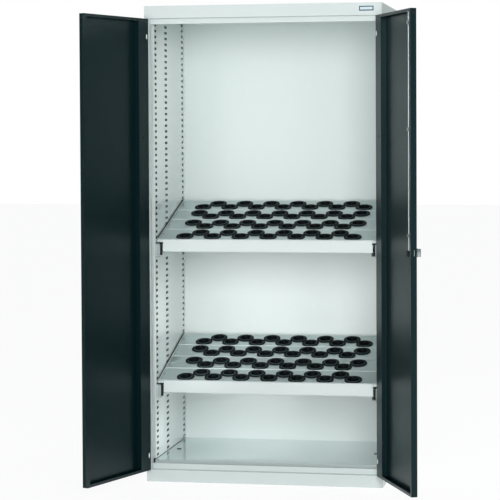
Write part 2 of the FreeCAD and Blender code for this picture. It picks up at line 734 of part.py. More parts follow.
def channel(web, tip, middle, half, inward):
    """Corners of a C section: its web at one side, its lips towards tip."""
    inner = f"{web} {inward} sheet"
    low, high = f"{middle} - {half}", f"{middle} + {half}"
    return [
        (web, low), (web, high), (tip, high), (tip, f"{high} - sheet"), (inner, f"{high} - sheet"),
        (inner, f"{low} + sheet"), (tip, f"{low} + sheet"), (tip, low),
    ]


def slide_bracket(level, rows):
    """Right-hand bracket: a web on the wall, a tray below the slide and hooks in the slots."""
    body = new_body("Bracket")
    low = f"{level} - bracket_drop"
    lip = f"{WALL} - bracket_width"
    section = [
        (lip, low), (WALL, low), (WALL, f"{low} + bracket_height"), (OUTER_FACE, f"{low} + bracket_height"),
        (OUTER_FACE, f"{low} + sheet"), (f"{lip} + sheet", f"{low} + sheet"),
        (f"{lip} + sheet", f"{level} - bracket_lip"), (lip, f"{level} - bracket_lip"),
    ]
    start = f"{FRONT} + slot_front - slot_length / 2 + 2 * sheet"
    along_y(body, section, start, f"{REAR} - slot_rear + slot_length / 2")
    behind = f"{WALL} + sheet + clearance"
    for row in rows:
        slot = f"(first_slot + {row} * slot_pitch)"
        sill = f"{slot} - slot_height / 2 + clearance"
        top = f"{slot} + slot_height / 2 - 2 * sheet"
        hook = [
            (f"{WALL} - sheet / 2", sill), (behind, sill), (behind, f"{sill} - hook_drop"),
            (f"{behind} + sheet", f"{sill} - hook_drop"), (f"{behind} + sheet", top),
            (f"{WALL} - sheet / 2", top),
        ]
        for at in SLOT_COLUMNS:
            along_y(body, hook, f"{FRONT} + {at} - hook_width / 2", f"{FRONT} + {at} + hook_width / 2")
    return body


def slide_member(level, web, tip, half, inward):
    """Right-hand slide member, a C section as long as the slide."""
    body = new_body("Slide")
    section = channel(web, tip, f"{level} + slide_axis", half, inward)
    along_y(body, section, FRAME_FRONT, f"{FRAME_FRONT} + slide_length")
    return body


def slides(name, level, rows):
    """Brackets and telescopic slides of one pull-out frame, on both sides."""
    half = "slide_height / 2"
    middle_web = f"({OUTER_FACE} - sheet - slide_play)"
    members = {
        f"{name}_slide_brackets": slide_bracket(level, rows),
        f"{name}_slide_outers": slide_member(level, OUTER_FACE, f"{OUTER_FACE} - slide_depth", half, "-"),
        f"{name}_slide_middles": slide_member(
            level, middle_web, f"{FRAME_HALF} + sheet + slide_play", f"({half} - sheet - clearance)", "-"),
        f"{name}_slide_inners": slide_member(
            level, FRAME_HALF, f"{middle_web} - sheet - slide_play",
            f"({half} - 2 * sheet - 2 * clearance)", "+"),
    }
    for label, member in members.items():
        group(label, member, mirrored(member))


def on_slope(level, along, lift):
    """Y and Z of a point on the frame's slope, along it and square to it."""
    y = f"{FRAME_FRONT} + ({along}) * cos(tilt) - ({lift}) * sin(tilt)"
    z = f"{level} + frame_front + ({along}) * sin(tilt) + ({lift}) * cos(tilt)"
    return y, z


def slope_bar(level, start, end, low, high):
    """Corners of a bar that lies along the slope, seen from the side."""
    return [
        on_slope(level, start, low), on_slope(level, end, low),
        on_slope(level, end, high), on_slope(level, start, high),
    ]


def frame_front(name, level):
    """Front of a pull-out frame, with its lower fold and the end tabs of the rails."""
    body = new_body(name)
    back = f"{FRAME_FRONT} + sheet"
    fold = f"{FRAME_FRONT} + frame_fold"
    face = rectangle(FRAME_FRONT, level, back, f"{level} + frame_front")
    pad(body, outline(body, "YZ_Plane", face), f"2 * {FRAME_HALF}", midplane=True)
    foot = rectangle(f"{FRAME_FRONT} + sheet / 2", level, fold, f"{level} + sheet")
    pad(body, outline(body, "YZ_Plane", foot), f"2 * ({FRAME_HALF} - sheet)", midplane=True)
    tab_low = f"{level} + frame_front - rail_lip - 2 * sheet"
    for near, far in ((FRAME_HALF, RAIL_EDGE), (f"-{RAIL_EDGE}", f"-{FRAME_HALF}")):
        tab = rectangle(near, tab_low, far, f"{level} + frame_front - sheet")
        along_y(body, tab, FRAME_FRONT, back)
    keep(body, name)


def frame_side(name, level, side):
    """Wedge-shaped side with its sloping top rail, upturned edge and lower fold."""
    body = new_body(name)
    start = f"{FRAME_FRONT} + sheet"
    end = f"{FRAME_BACK} + sheet"

    def top(y):
        return f"{level} + frame_front + ({y} - {FRAME_FRONT}) * tan(tilt) - 1.5 * sheet / cos(tilt)"

    wedge = [(start, level), (end, level), (end, top(f"({end})")), (start, top(f"({start})"))]
    inner = f"({FRAME_HALF} - sheet)"
    back = side < 0
    pad(body, outline(body, "YZ_Plane", wedge, offset=f"{side} * {inner}"), "sheet", back=back)
    rail_end = f"{SLOPE_LENGTH} + carrier_flange * tan(tilt)"
    rail = slope_bar(level, "2 * sheet", rail_end, "-2 * sheet", "-sheet")
    pad(body, outline(body, "YZ_Plane", rail, offset=f"{side} * {inner}"), f"{RAIL_EDGE} - {inner}", back=back)
    lip = slope_bar(level, "2 * sheet", rail_end, "-2 * sheet", "rail_lip")
    pad(body, outline(body, "YZ_Plane", lip, offset=f"{side} * ({RAIL_EDGE} - sheet)"), "sheet", back=back)
    near, far = f"{inner} - frame_fold", f"{inner} + sheet / 2"
    if side < 0:
        near, far = f"-({far})", f"-({near})"
    fold_start = f"{FRAME_FRONT} + frame_fold + clearance"
    along_y(body, rectangle(near, level, far, f"{level} + sheet"), fold_start, FRAME_BACK)
    keep(body, name)


def frame_rear(name, level):
    """Upright rear sheet of a pull-out frame, folded forward along its foot."""
    body = new_body(name)
    end = f"{FRAME_BACK} + sheet"
    fold = f"{FRAME_BACK} - frame_fold"
    rise = f"{level} + frame_front + ({FRAME_BACK} - {FRAME_FRONT}) * tan(tilt) - 3 * sheet"
    half = f"({FRAME_HALF} - sheet)"
    sheet_part = [(FRAME_BACK, level), (FRAME_BACK, rise), (end, rise), (end, level)]
    pad(body, outline(body, "YZ_Plane", sheet_part), f"2 * {half}", midplane=True)
    foot = rectangle(fold, level, f"{FRAME_BACK} + sheet / 2", f"{level} + sheet")
    pad(body, outline(body, "YZ_Plane", foot), f"2 * ({half} - frame_fold - clearance)", midplane=True)
    keep(body, name)


def rows_of(long_in_front):
    """A carrier's two rows: how many sockets, and their distance from its front edge."""
    counts = ("long_row_count", "short_row_count")
    if not long_in_front:
        counts = counts[::-1]
    return zip(counts, ("(row_centre - row_spacing / 2)", "(row_centre + row_spacing / 2)"))


def place_on_slope(thing, level, number):
    y, z = on_slope(level, f"carrier_start + {number} * carrier_pitch", "0")
    return place(thing, "0", y, z, "tilt", (1, 0, 0))


def carrier(name, level, number):
    """Sheet carrier across the frame, with folded edges and two staggered rows of holes."""
    body = new_body(name)
    depth = "(carrier_pitch - carrier_gap)"
    half = f"({RAIL_EDGE} - 2 * sheet)"
    pad(body, outline(body, "YZ_Plane", rectangle("0", "-sheet", depth, "0")), f"2 * {half}", midplane=True)
    folds = [
        rectangle("0", "-carrier_flange", "sheet", "-sheet / 2"),
        rectangle(f"{depth} - sheet", "-carrier_flange", depth, "-sheet / 2"),
    ]
    inside = f"({FRAME_HALF} - 2 * sheet)"
    pad(body, outline(body, "YZ_Plane", *folds), f"2 * {inside}", midplane=True)
    hole = "(insert_body + clearance)"
    for count, row in rows_of(LONG_ROW_IN_FRONT[number]):
        first = f"((1 - {count}) / 2 * socket_pitch)"
        square = rectangle(f"{first} - {hole}", f"{row} - {hole}", f"{first} + {hole}", f"{row} + {hole}")
        cut = cut_through(body, outline(body, "XY_Plane", square))
        repeat(body, cut, "X_Axis", count, "socket_pitch")
    keep(place_on_slope(body, level, number), name)


def tool_insert():
    """Plastic tool insert: a flange on the carrier, a square body in its hole, an open bore."""
    body = new_body("Insert")
    square = rectangle("-insert_body", "-insert_body", "insert_body", "insert_body")
    pad(body, outline(body, "XY_Plane", square, offset="-insert_depth"), "insert_depth")
    pad(body, outline(body, "XY_Plane", octagon("insert_flange")), "insert_rim")
    cut_through(body, outline(body, "XY_Plane", octagon("insert_bore")))
    return body


def carrier_inserts(name, level, number, source):
    """The inserts of one carrier."""
    copies = []
    for count, row in rows_of(LONG_ROW_IN_FRONT[number]):
        for step in range(VALUES[count]):
            copy = doc.addObject("App::Link", "Insert_copy")
            copy.LinkedObject = source
            copies.append(place(copy, f"({step} - ({count} - 1) / 2) * socket_pitch", row))
    place_on_slope(group(name, *copies), level, number)


def pull_out_frame(name, level, source):
    frame_front(f"{name}_frame_front", level)
    for word, side in SIDES.items():
        frame_side(f"{name}_frame_{word}_side", level, side)
    frame_rear(f"{name}_frame_rear", level)
    for number in range(len(LONG_ROW_IN_FRONT)):
        carrier(f"{name}_carrier_{number + 1}", level, number)
        carrier_inserts(f"{name}_inserts_{number + 1}", level, number, source)


def build():
    fill_sheet()
    plinth()
    for word, side in SIDES.items():
        side_panel(f"{word}_side_panel", side)
        perforated_wall(f"{word}_perforated_wall", side)
        door_panel(f"{word}_door_panel", -side)
        door_stiffener(f"{word}_door_stiffener", -side)
        door_hinges(f"{word}_door_hinge_leaves", -side)
    back_panel()
    roof_cap()
    stop_rail("top_rail", f"{CEILING} - rail_height", CEILING, "bottom")
    stop_rail("bottom_rail", "plinth_height", "plinth_height + rail_height", "top")
    floor_panel()
    body_hinges()
    stop_strip()
    lock_case()
    lock_rosette()
    lock_handle()
    lock_cam()
    locking_rod()
    latch_bolt()
    rod_guides()
    source = tool_insert()
    for name, row in (("upper", "upper_row"), ("lower", "lower_row")):
        slides(name, LEVELS[name], (row, f"({row} + 1)"))
        pull_out_frame(name, LEVELS[name], source)


def export():
    """Check every object, then write one file for each sub-part."""
    doc.recompute()
    for thing in doc.Objects:
        if "Invalid" in thing.State or "Error" in thing.State:
            raise RuntimeError(f"{thing.Name} ({thing.Label}) failed: {thing.State}")
    for node in nodes:
        if node.Shape.isNull() or not node.Shape.isValid():
            raise RuntimeError(f"{node.Label} has no valid shape")
    os.makedirs("parts", exist_ok=True)
    for node in nodes:
        node.Shape.exportStep(f"parts/{node.Label}.step")
        box = node.Shape.BoundBox
        print(
            f"{node.Label}: {len(node.Shape.Solids)} solids, {node.Shape.Volume / 1000:.1f} cm3,"
            f" x {box.XMin:.1f} {box.XMax:.1f}, y {box.YMin:.1f} {box.YMax:.1f}, z {box.ZMin:.1f} {box.ZMax:.1f}"
        )


build()
export()
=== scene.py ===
import json
import math

import bmesh
import bpy
from bpy.props import FloatProperty, FloatVectorProperty, IntProperty, PointerProperty
from mathutils import Matrix, Vector


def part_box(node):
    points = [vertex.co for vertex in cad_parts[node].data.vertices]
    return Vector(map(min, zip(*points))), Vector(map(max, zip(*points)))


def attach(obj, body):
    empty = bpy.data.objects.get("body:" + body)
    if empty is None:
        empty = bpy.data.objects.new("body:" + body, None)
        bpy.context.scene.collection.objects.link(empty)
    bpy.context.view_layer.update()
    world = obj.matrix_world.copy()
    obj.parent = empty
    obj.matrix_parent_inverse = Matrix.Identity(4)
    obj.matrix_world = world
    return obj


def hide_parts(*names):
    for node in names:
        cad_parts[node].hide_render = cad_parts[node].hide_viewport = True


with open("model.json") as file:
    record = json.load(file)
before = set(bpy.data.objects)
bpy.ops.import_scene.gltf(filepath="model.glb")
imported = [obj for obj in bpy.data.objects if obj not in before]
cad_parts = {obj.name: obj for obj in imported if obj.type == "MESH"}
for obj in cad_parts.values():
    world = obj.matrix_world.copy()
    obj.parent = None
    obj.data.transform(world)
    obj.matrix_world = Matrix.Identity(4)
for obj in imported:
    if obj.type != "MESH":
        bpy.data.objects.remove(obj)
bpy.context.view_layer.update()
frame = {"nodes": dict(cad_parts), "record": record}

bl_info = {
    "name": "Tool cabinet dressing",
    "version": (1, 0, 0),
    "blender": (4, 5, 0),
    "location": "View3D > Sidebar > Cabinet",
    "description": "Finishes and fine pieces for a two-door tool cabinet with pull-out frames",
    "category": "Object",
}

MM = 0.001
SAME = 1e-6  # metres within which two points count as one
JOINTS = {joint["name"]: joint for joint in frame["record"]["behaviour"]["joints"]}
FRAMES = ("upper", "lower")
CARRIERS = 4  # on each pull-out frame
SIDES = {"left": -1, "right": 1}


def corners(node):
    """Lowest and highest corner of a solid of the frame."""
    low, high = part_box(node)
    return Vector(low), Vector(high)


# Places read from the frame, in metres
BODY_LOW, BODY_HIGH = corners("plinth")
WALL_LOW, WALL_HIGH = corners("right_perforated_wall")
FRONT = BODY_LOW.y

# From a piece drawn on the Z axis to one that faces the front, or the inside of a closed door
UPRIGHT = Matrix.Rotation(math.radians(90), 4, "X")
INWARD = Matrix.Rotation(math.radians(-90), 4, "X")


class CabinetForms(bpy.types.PropertyGroup):
    """Sizes of the fine pieces."""
    fold_radius: FloatProperty(
        name="Fold radius", description="Outer radius of the folds in the perforated walls",
        default=2.2 * MM, min=0, unit="LENGTH")
    edge_break: FloatProperty(
        name="Broken edges", description="Width of the softened edges of sheet parts",
        default=0.45 * MM, min=0, unit="LENGTH")
    sheet: FloatProperty(
        name="Sheet", description="Thickness of the body sheet", default=1.5 * MM, min=0, unit="LENGTH")
    floor_gap: FloatProperty(
        name="Gap over the floor", description="Dark gap between the floor panel and the inner walls",
        default=2.4 * MM, min=0, unit="LENGTH")
    slot_pitch: FloatProperty(
        name="Slot pitch", description="Vertical distance between wall slots", default=25 * MM, unit="LENGTH")
    slot_count: IntProperty(
        name="Slots", description="Slots in one column of a wall", default=76, min=1)
    first_slot: FloatProperty(
        name="First slot", description="Height of the lowest wall slot", default=100 * MM, unit="LENGTH")
    slot_height: FloatProperty(
        name="Slot height", description="Height of one wall slot", default=11 * MM, unit="LENGTH")
    tilt: FloatProperty(
        name="Slope", description="Slope of the tool carriers", default=math.radians(16), subtype="ANGLE")
    carrier_pitch: FloatProperty(
        name="Carrier pitch", description="One tool carrier along the slope", default=132 * MM, unit="LENGTH")
    carrier_start: FloatProperty(
        name="Carrier start", description="First carrier behind the front's top edge", default=3 * MM, unit="LENGTH")
    socket_pitch: FloatProperty(
        name="Socket pitch", description="Distance between sockets in one row", default=120 * MM, unit="LENGTH")
    row_centre: FloatProperty(
        name="Row centre", description="Middle of a carrier's rows from its front edge",
        default=62 * MM, unit="LENGTH")
    row_spacing: FloatProperty(
        name="Row spacing", description="Distance between a carrier's two rows", default=48 * MM, unit="LENGTH")


class CabinetFinishes(bpy.types.PropertyGroup):
    """Colours of the finishes."""
    body_grey: FloatVectorProperty(
        name="Body", description="Light grey powder coat", subtype="COLOR", size=3,
        default=(0.66, 0.735, 0.722), min=0, max=1)
    anthracite: FloatVectorProperty(
        name="Doors", description="Anthracite powder coat", subtype="COLOR", size=3,
        default=(0.0006, 0.0095, 0.0125), min=0, max=1)
    insert_black: FloatVectorProperty(
        name="Inserts", description="Black moulded plastic", subtype="COLOR", size=3,
        default=(0.0025, 0.0042, 0.0046), min=0, max=1)
    galvanised: FloatVectorProperty(
        name="Galvanised", description="Galvanised floor and carriers", subtype="COLOR", size=3,
        default=(0.56, 0.64, 0.64), min=0, max=1)
    zinc: FloatVectorProperty(
        name="Zinc", description="Zinc plated hardware", subtype="COLOR", size=3,
        default=(0.36, 0.41, 0.41), min=0, max=1)
    plate_blue: FloatVectorProperty(
        name="Plate edge", description="Printed edge of the bare plate", subtype="COLOR", size=3,
        default=(0.022, 0.055, 0.09), min=0, max=1)


class CabinetStage(bpy.types.PropertyGroup):
    """Camera and light."""
    camera_place: FloatVectorProperty(
        name="Camera", description="Where the camera stands", size=3, subtype="TRANSLATION",
        default=(1.4231, -8.21835, 1.47363))
    yaw: FloatProperty(
        name="Yaw", description="Camera's turn to the left", default=math.radians(10.584), subtype="ANGLE")
    pitch: FloatProperty(
        name="Pitch", description="Camera's tilt downwards", default=math.radians(1.740), subtype="ANGLE")
    roll: FloatProperty(
        name="Roll", description="Camera's roll", default=math.radians(0.286), subtype="ANGLE")
    focal_pixels: FloatProperty(
        name="Focal length", description="Focal length in pixels of the square picture", default=1932.04)
    picture: IntProperty(name="Picture", description="Width of the picture in pixels", default=500)
    centre_row: FloatProperty(
        name="Centre row", description="Picture row that the camera's axis meets", default=190)
    key_power: FloatProperty(name="Key light", description="Power of the key light", default=177, unit="POWER")
    fill_power: FloatProperty(name="Fill light", description="Power of the fill light", default=64, unit="POWER")
    low_power: FloatProperty(
        name="Low light", description="Power of the light near the ground", default=36, unit="POWER")
    side_power: FloatProperty(
        name="Side light", description="Power of the light on the right side", default=60, unit="POWER")
    inner_power: FloatProperty(
        name="Inner light", description="Power of the light in each compartment", default=0.85, unit="POWER")
    sky: FloatProperty(name="Sky", description="Strength of the even light all round", default=0.3)


def forms():
    return bpy.context.scene.cabinet_forms


def finishes():
    return bpy.context.scene.cabinet_finishes


def stage():
    return bpy.context.scene.cabinet_stage


# Shader expressions

class Value:
    """A shader socket that takes part in plain arithmetic."""

    def __init__(self, shader, socket):
        self.shader = shader
        self.socket = socket

    def maths(self, operation, *others, clamp=False):
        return self.shader.node("ShaderNodeMath", {"operation": operation, "use_clamp": clamp}, self, *others)

    def __add__(self, other):
        return self.maths("ADD", other)

    def __sub__(self, other):
        return self.maths("SUBTRACT", other)

    def __mul__(self, other):
        return self.maths("MULTIPLY", other)

    def __truediv__(self, other):
        return self.maths("DIVIDE", other)

    def __rsub__(self, other):
        return (self * -1) + other

    __radd__ = __add__
    __rmul__ = __mul__

    def above(self, limit, soft):
        """0 below the limit, 1 above it, with a soft step between."""
        return ((self - limit) / soft).maths("ADD", 0.5, clamp=True)


class Shader:
    """Nodes of one material, or of the world."""

    def __init__(self, name, world=False):
        self.material = (bpy.data.worlds if world else bpy.data.materials).new(name)
        self.material.use_nodes = True
        self.tree = self.material.node_tree
        self.surface = self.tree.nodes["Background" if world else "Principled BSDF"]
        self.output = self.tree.nodes["World Output" if world else "Material Output"]

    def node(self, kind, settings=None, *values, output=0, **named):
        """Add a node: its settings first, then its sockets by place or by name."""
        item = self.tree.nodes.new(kind)
        for key, setting in (settings or {}).items():
            setattr(item, key, setting)
        for place, value in enumerate(values):
            self.feed(item.inputs[place], value)
        for key, value in named.items():
            self.feed(item.inputs[key.replace("_", " ")], value)
        return Value(self, item.outputs[output])

    def feed(self, socket, value):
        """Link a value to a socket, or set a constant."""
        if isinstance(value, Value):
            self.tree.links.new(value.socket, socket)
        elif value is not None:
            socket.default_value = value

    def set(self, name, value):
        """Feed one socket of the surface."""
        self.feed(self.surface.inputs[name], value)

    def place(self, stretch=(1, 1, 1)):
        """Object coordinates in metres, stretched along the axes."""
        where = self.node("ShaderNodeTexCoord", output=3)
        return self.node("ShaderNodeMapping", None, where, Scale=stretch)

    def axis(self, number):
        """Object coordinate: 0 across, 1 deep, 2 up."""
        return self.node("ShaderNodeSeparateXYZ", None, self.place(), output=number)

    def rays(self, kind):
        """1 for rays of a kind, 0 for all others."""
        return self.node("ShaderNodeLightPath", output=f"Is {kind} Ray")

    def mix(self, share, other):
        """Show another surface by a share."""
        both = self.node("ShaderNodeMixShader", None, share, Value(self, self.surface.outputs[0]), other)
        self.feed(self.output.inputs["Surface"], both)

    def noise(self, size, detail=2, stretch=(1, 1, 1)):
        """Even noise from 0 to 1 whose features are about size metres wide."""
        return self.node("ShaderNodeTexNoise", None, Vector=self.place(stretch), Scale=1 / size, Detail=detail)

    def blend(self, factor, first, second):
        """One colour or the other by a factor."""
        mix = self.tree.nodes.new("ShaderNodeMix")
        mix.data_type = "RGBA"
        self.feed(mix.inputs[0], factor)
        self.feed(mix.inputs[6], first)
        self.feed(mix.inputs[7], second)
        return Value(self, mix.outputs[2])

    def bump(self, height, depth, strength):
        """Relief of the surface, depth in metres."""
        self.set("Normal", self.node("ShaderNodeBump", None, Strength=strength, Distance=depth, Height=height))


def shade(colour, factor):
    """A colour made lighter or darker."""
    return tuple(min(1, part * factor) for part in colour) + (1,)


def powder_coat(name, colour, roughness, texture, sheen, tint=(1, 1, 1, 1)):
    """Powder coat: slight cloudiness, fine orange peel, rubbed patches."""
    paint = Shader(name)
    cloud = paint.noise(0.35, 3)
    grain = paint.noise(0.0016, 2)
    rubbed = paint.noise(0.06, 4, (1, 1, 0.4))
    tone = cloud * 0.7 + grain * 0.3
    paint.set("Base Color", paint.blend(tone, shade(colour, 1 - texture), shade(colour, 1 + texture)))
    paint.set("Roughness", roughness + (rubbed - 0.5) * 0.05 + (grain - 0.5) * 0.03)
    paint.set("Specular IOR Level", sheen)
    paint.set("Specular Tint", tint)
    paint.bump(grain * 0.8 + paint.noise(0.006, 1) * 0.5, 0.00003, 0.35)
    return paint.material


def galvanised_sheet(name, brightness, roughness):
    """Zinc coated sheet: faint rolling lines and wipe marks, with a soft mirror."""
    sheet = Shader(name)
    wiped = sheet.noise(0.06, 3, (0.3, 1, 1))
    rolled = sheet.noise(0.004, 2, (0.03, 1, 1))
    colour = finishes().galvanised
    tone = wiped * 0.5 + rolled * 0.5
    sheet.set("Base Color", sheet.blend(tone, shade(colour, 0.97 * brightness), shade(colour, 1.03 * brightness)))
    sheet.set("Metallic", 0.8)
    sheet.set("Roughness", roughness + (wiped - 0.5) * 0.05 + (rolled - 0.5) * 0.03)
    sheet.bump(rolled * 0.5 + sheet.noise(0.05, 2) * 1.5, 0.0003, 0.12)
    return sheet.material


def zinc_plate(name, roughness):
    """Zinc plated steel, drawn along its length."""
    zinc = Shader(name)
    drawn = zinc.noise(0.0012, 3, (1, 1, 0.05))
    cloud = zinc.noise(0.02, 3)
    colour = finishes().zinc
    zinc.set("Base Color", zinc.blend(cloud * 0.6 + drawn * 0.4, shade(colour, 0.86), shade(colour, 1.1)))
    zinc.set("Metallic", 0.9)
    zinc.set("Roughness", roughness + (drawn - 0.5) * 0.16 + (cloud - 0.5) * 0.1)
    zinc.bump(drawn, 0.00004, 0.5)
    return zinc.material


def moulded_plastic(name, brightness, roughness):
    """Black plastic with a fine spark-eroded grain, rubbed brighter in places."""
    plastic = Shader(name)
    grain = plastic.noise(0.0009, 2)
    rubbed = plastic.noise(0.02, 3)
    colour = finishes().insert_black
    dull, bright = shade(colour, 0.8 * brightness), shade(colour, 1.3 * brightness)
    plastic.set("Base Color", plastic.blend(rubbed, dull, bright))
    plastic.set("Roughness", roughness + (rubbed - 0.5) * 0.14 + (grain - 0.5) * 0.08)
    plastic.set("Specular IOR Level", 0.09)
    plastic.bump(grain, 0.00005, 0.6)
    return plastic.material


def printed_plate(centre, width, height, rim):
    """Bare metal plate with a printed rim."""
    plate = Shader("printed_plate")
    far = (plate.axis(0) - centre.x).maths("ABSOLUTE").above(width / 2 - rim, 0.2 * MM)
    tall = (plate.axis(2) - centre.z).maths("ABSOLUTE").above(height / 2 - rim, 0.2 * MM)
    edge = far.maths("MAXIMUM", tall)
    brushed = plate.noise(0.0008, 2, (0.05, 1, 1))
    face = plate.blend(brushed, (0.42, 0.52, 0.56, 1), (0.50, 0.60, 0.64, 1))
    plate.set("Base Color", plate.blend(edge, face, shade(finishes().plate_blue, 1)))
    plate.set("Roughness", 0.34 + (brushed - 0.5) * 0.1)
    plate.set("Metallic", 0.35)
    plate.bump(brushed, 0.00003, 0.4)
    return plate.material


def grey_plastic(name):
    """Grey nylon of the slides' covers, and the grey of the strip over the floor's front fold, which paints shade
    there.
    """
    nylon = Shader(name)
    cloud = nylon.noise(0.006, 3)
    nylon.set("Base Color", nylon.blend(cloud, (0.34, 0.40, 0.40, 1), (0.42, 0.48, 0.48, 1)))
    nylon.set("Roughness", 0.45 + (cloud - 0.5) * 0.15)
    nylon.bump(nylon.noise(0.0008, 2), 0.00004, 0.5)
    return nylon.material


def rubber(name):
    """Dark gum of plugs, buffers and caps, and of strips on the rails' lips; the strips and the bar beside a slide's
    end also paint the shade of the gaps there.
    """
    gum = Shader(name)
    dust = gum.noise(0.004, 3)
    gum.set("Base Color", gum.blend(dust, (0.010, 0.011, 0.012, 1), (0.022, 0.024, 0.025, 1)))
    gum.set("Roughness", 0.62 + (dust - 0.5) * 0.15)
    gum.set("Specular IOR Level", 0.15)
    gum.bump(dust, 0.00008, 0.4)
    return gum.material


def finish(name):
    """A finish by name, made once."""
    ready = bpy.data.materials.get(name)
    if ready:
        return ready
    colours = finishes()
    makers = {
        "body_coat": (powder_coat, colours.body_grey, 0.26, 0.012, 0.5),
        "door_coat": (powder_coat, colours.anthracite, 0.32, 0.10, 0.27, (0.7, 1, 1, 1)),
        "wall_coat": (powder_coat, colours.body_grey, 0.12, 0.012, 0.75),
        "galvanised_sheet": (galvanised_sheet, 1.12, 0.17),
        "carrier_sheet": (galvanised_sheet, 0.95, 0.3),
        "zinc_hardware": (zinc_plate, 0.32),
        "slide_steel": (zinc_plate, 0.24),
        "bright_zinc": (powder_coat, (0.86, 0.92, 0.92), 0.35, 0.02, 0.5),
        "moulded_plastic": (moulded_plastic, 1, 0.55),
        # Black plastic twelve times brighter: a painted highlight on the ring round each insert's mouth
        "worn_plastic": (moulded_plastic, 12, 0.5),
        "grey_plastic": (grey_plastic,),
        # A dark coat that paints shade: in the wall slots and on the side panels' inner faces behind them
        "dark_primer": (powder_coat, (0.035, 0.045, 0.045), 0.6, 0.08, 0.3),
        "rubber": (rubber,),
    }
    maker, *values = makers[name]
    return maker(name, *values)


# Modelling by hand, as steps

def only(item):
    """Make one object the only one selected, and the active one."""
    bpy.ops.object.select_all(action="DESELECT")
    item.select_set(True)
    bpy.context.view_layer.objects.active = item
    return item


def named(name):
    item = bpy.context.object
    item.name = name
    item.data.name = name
    return item


def settle(item):
    """Put an object's place, turn and size into its mesh."""
    only(item)
    bpy.ops.object.transform_apply(location=True, rotation=True, scale=True)
    return item


def apply_modifier(item, kind, **settings):
    modifier = item.modifiers.new(kind.title(), kind)
    for key, value in settings.items():
        setattr(modifier, key, value)
    only(item)
    bpy.ops.object.modifier_apply(modifier=modifier.name)
    return item


def soften(item, width, segments=2, angle=30):
    """Break every sharp edge, and keep flat faces flat in shading."""
    apply_modifier(
        item, "BEVEL", width=width, segments=segments, limit_method="ANGLE", angle_limit=math.radians(angle),
        harden_normals=True, use_clamp_overlap=True)
    return item


def smooth(item, angle=35):
    only(item)
    bpy.ops.object.shade_smooth_by_angle(angle=math.radians(angle))
    return item


def edit(edges=False):
    """Into edit mode, to pick edges where asked."""
    bpy.ops.object.mode_set(mode="EDIT")
    if edges:
        bpy.ops.mesh.select_mode(type="EDGE")


def leave_edit():
    bpy.ops.object.mode_set(mode="OBJECT")


def face_outwards(weld):
    """In edit mode, turn all faces outwards, and leave it."""
    bpy.ops.mesh.select_all(action="SELECT")
    if weld:
        bpy.ops.mesh.remove_doubles(threshold=SAME)
    bpy.ops.mesh.normals_make_consistent(inside=False)
    leave_edit()


def bar(name, low, high, edge=0, segments=2):
    """A bar between two corners, with its edges broken by a width."""
    low, high = Vector(low), Vector(high)
    bpy.ops.mesh.primitive_cube_add(size=1, location=(low + high) / 2, scale=high - low)
    item = settle(named(name))
    return soften(item, edge, segments) if edge else item


def pick(item, test):
    """In edit mode, select just the faces whose middle and normal pass a test."""
    shape = bmesh.from_edit_mesh(item.data)
    bpy.ops.mesh.select_all(action="DESELECT")
    for face in shape.faces:
        face.select = test(face.calc_center_median(), face.normal)
    shape.select_flush_mode()
    bmesh.update_edit_mesh(item.data)


def pick_edges(item, test):
    """In edit mode, select just the edges whose two ends pass a test."""
    shape = bmesh.from_edit_mesh(item.data)
    bpy.ops.mesh.select_all(action="DESELECT")
    for edge in shape.edges:
        edge.select = all(test(vertex.co) for vertex in edge.verts)
    bmesh.update_edit_mesh(item.data)


def turned(name, profile, sides, closed):
    """A round piece on the Z axis through (radius, height) rings; a closed one ends where it began."""
    radius, height = profile[0]
    bpy.ops.mesh.primitive_circle_add(
        vertices=sides, radius=radius, location=(0, 0, height), fill_type="NOTHING" if closed else "NGON")
    item = settle(named(name))
    edit(edges=True)
    bpy.ops.mesh.select_all(action="SELECT")
    for ring, level in profile[1:]:
        bpy.ops.mesh.extrude_edges_move() if closed else bpy.ops.mesh.extrude_region_move()
        bpy.ops.transform.resize(value=(ring / radius, ring / radius, 1), center_override=(0, 0, height))
        bpy.ops.transform.translate(value=(0, 0, level - height))
        radius, height = ring, level
    face_outwards(weld=closed)
    return item


def millimetres(rings):
    """Rings given in millimetres, turned into metres."""
    return [(radius * MM, height * MM) for radius, height in rings]


def folded_sheet(name, path, low, high, thickness, radius):
    """Sheet folded along a path of plan points, from height low to high, to the left of the path."""
    start, following = Vector((*path[0], low)), Vector((*path[1], low))
    bpy.ops.mesh.primitive_plane_add(size=1, location=(0, 0, 0))
    item = named(name)
    along = following - start
    item.matrix_world = Matrix((
        (along.x, 0, 0, (start.x + following.x) / 2), (along.y, 0, 1, (start.y + following.y) / 2),
        (0, high - low, 0, (low + high) / 2), (0, 0, 0, 1)))
    if abs(along.x) < SAME:
        item.matrix_world = Matrix((
            (0, 0, 1, start.x), (along.y, 0, 0, (start.y + following.y) / 2),
            (0, high - low, 0, (low + high) / 2), (0, 0, 0, 1)))
    settle(item)
    edit(edges=True)
    here = following
    for point in path[2:]:
        target = Vector((*point, low))
        pick_edges(item, lambda at: abs(at.x - here.x) < SAME and abs(at.y - here.y) < SAME)
        bpy.ops.mesh.extrude_edges_move(TRANSFORM_OT_translate={"value": target - here})
        here = target
    face_outwards(weld=True)
    apply_modifier(item, "BEVEL", width=radius, segments=3, limit_method="ANGLE", angle_limit=math.radians(30))
    return item


def copied(source, name):
    """A copy with its own mesh."""
    twin = bpy.data.objects.new(name, source.data.copy())
    bpy.context.collection.objects.link(twin)
    return settle(twin)


def merged(name, pieces):
    """Several meshes as one object."""
    bpy.ops.object.select_all(action="DESELECT")
    for piece in pieces:
        piece.select_set(True)
    bpy.context.view_layer.objects.active = pieces[0]
    bpy.ops.object.join()
    return named(name)


def put(item, matrix):
    """Move a finished mesh by a matrix and put its place into the mesh."""
    item.matrix_world = matrix
    return settle(item)


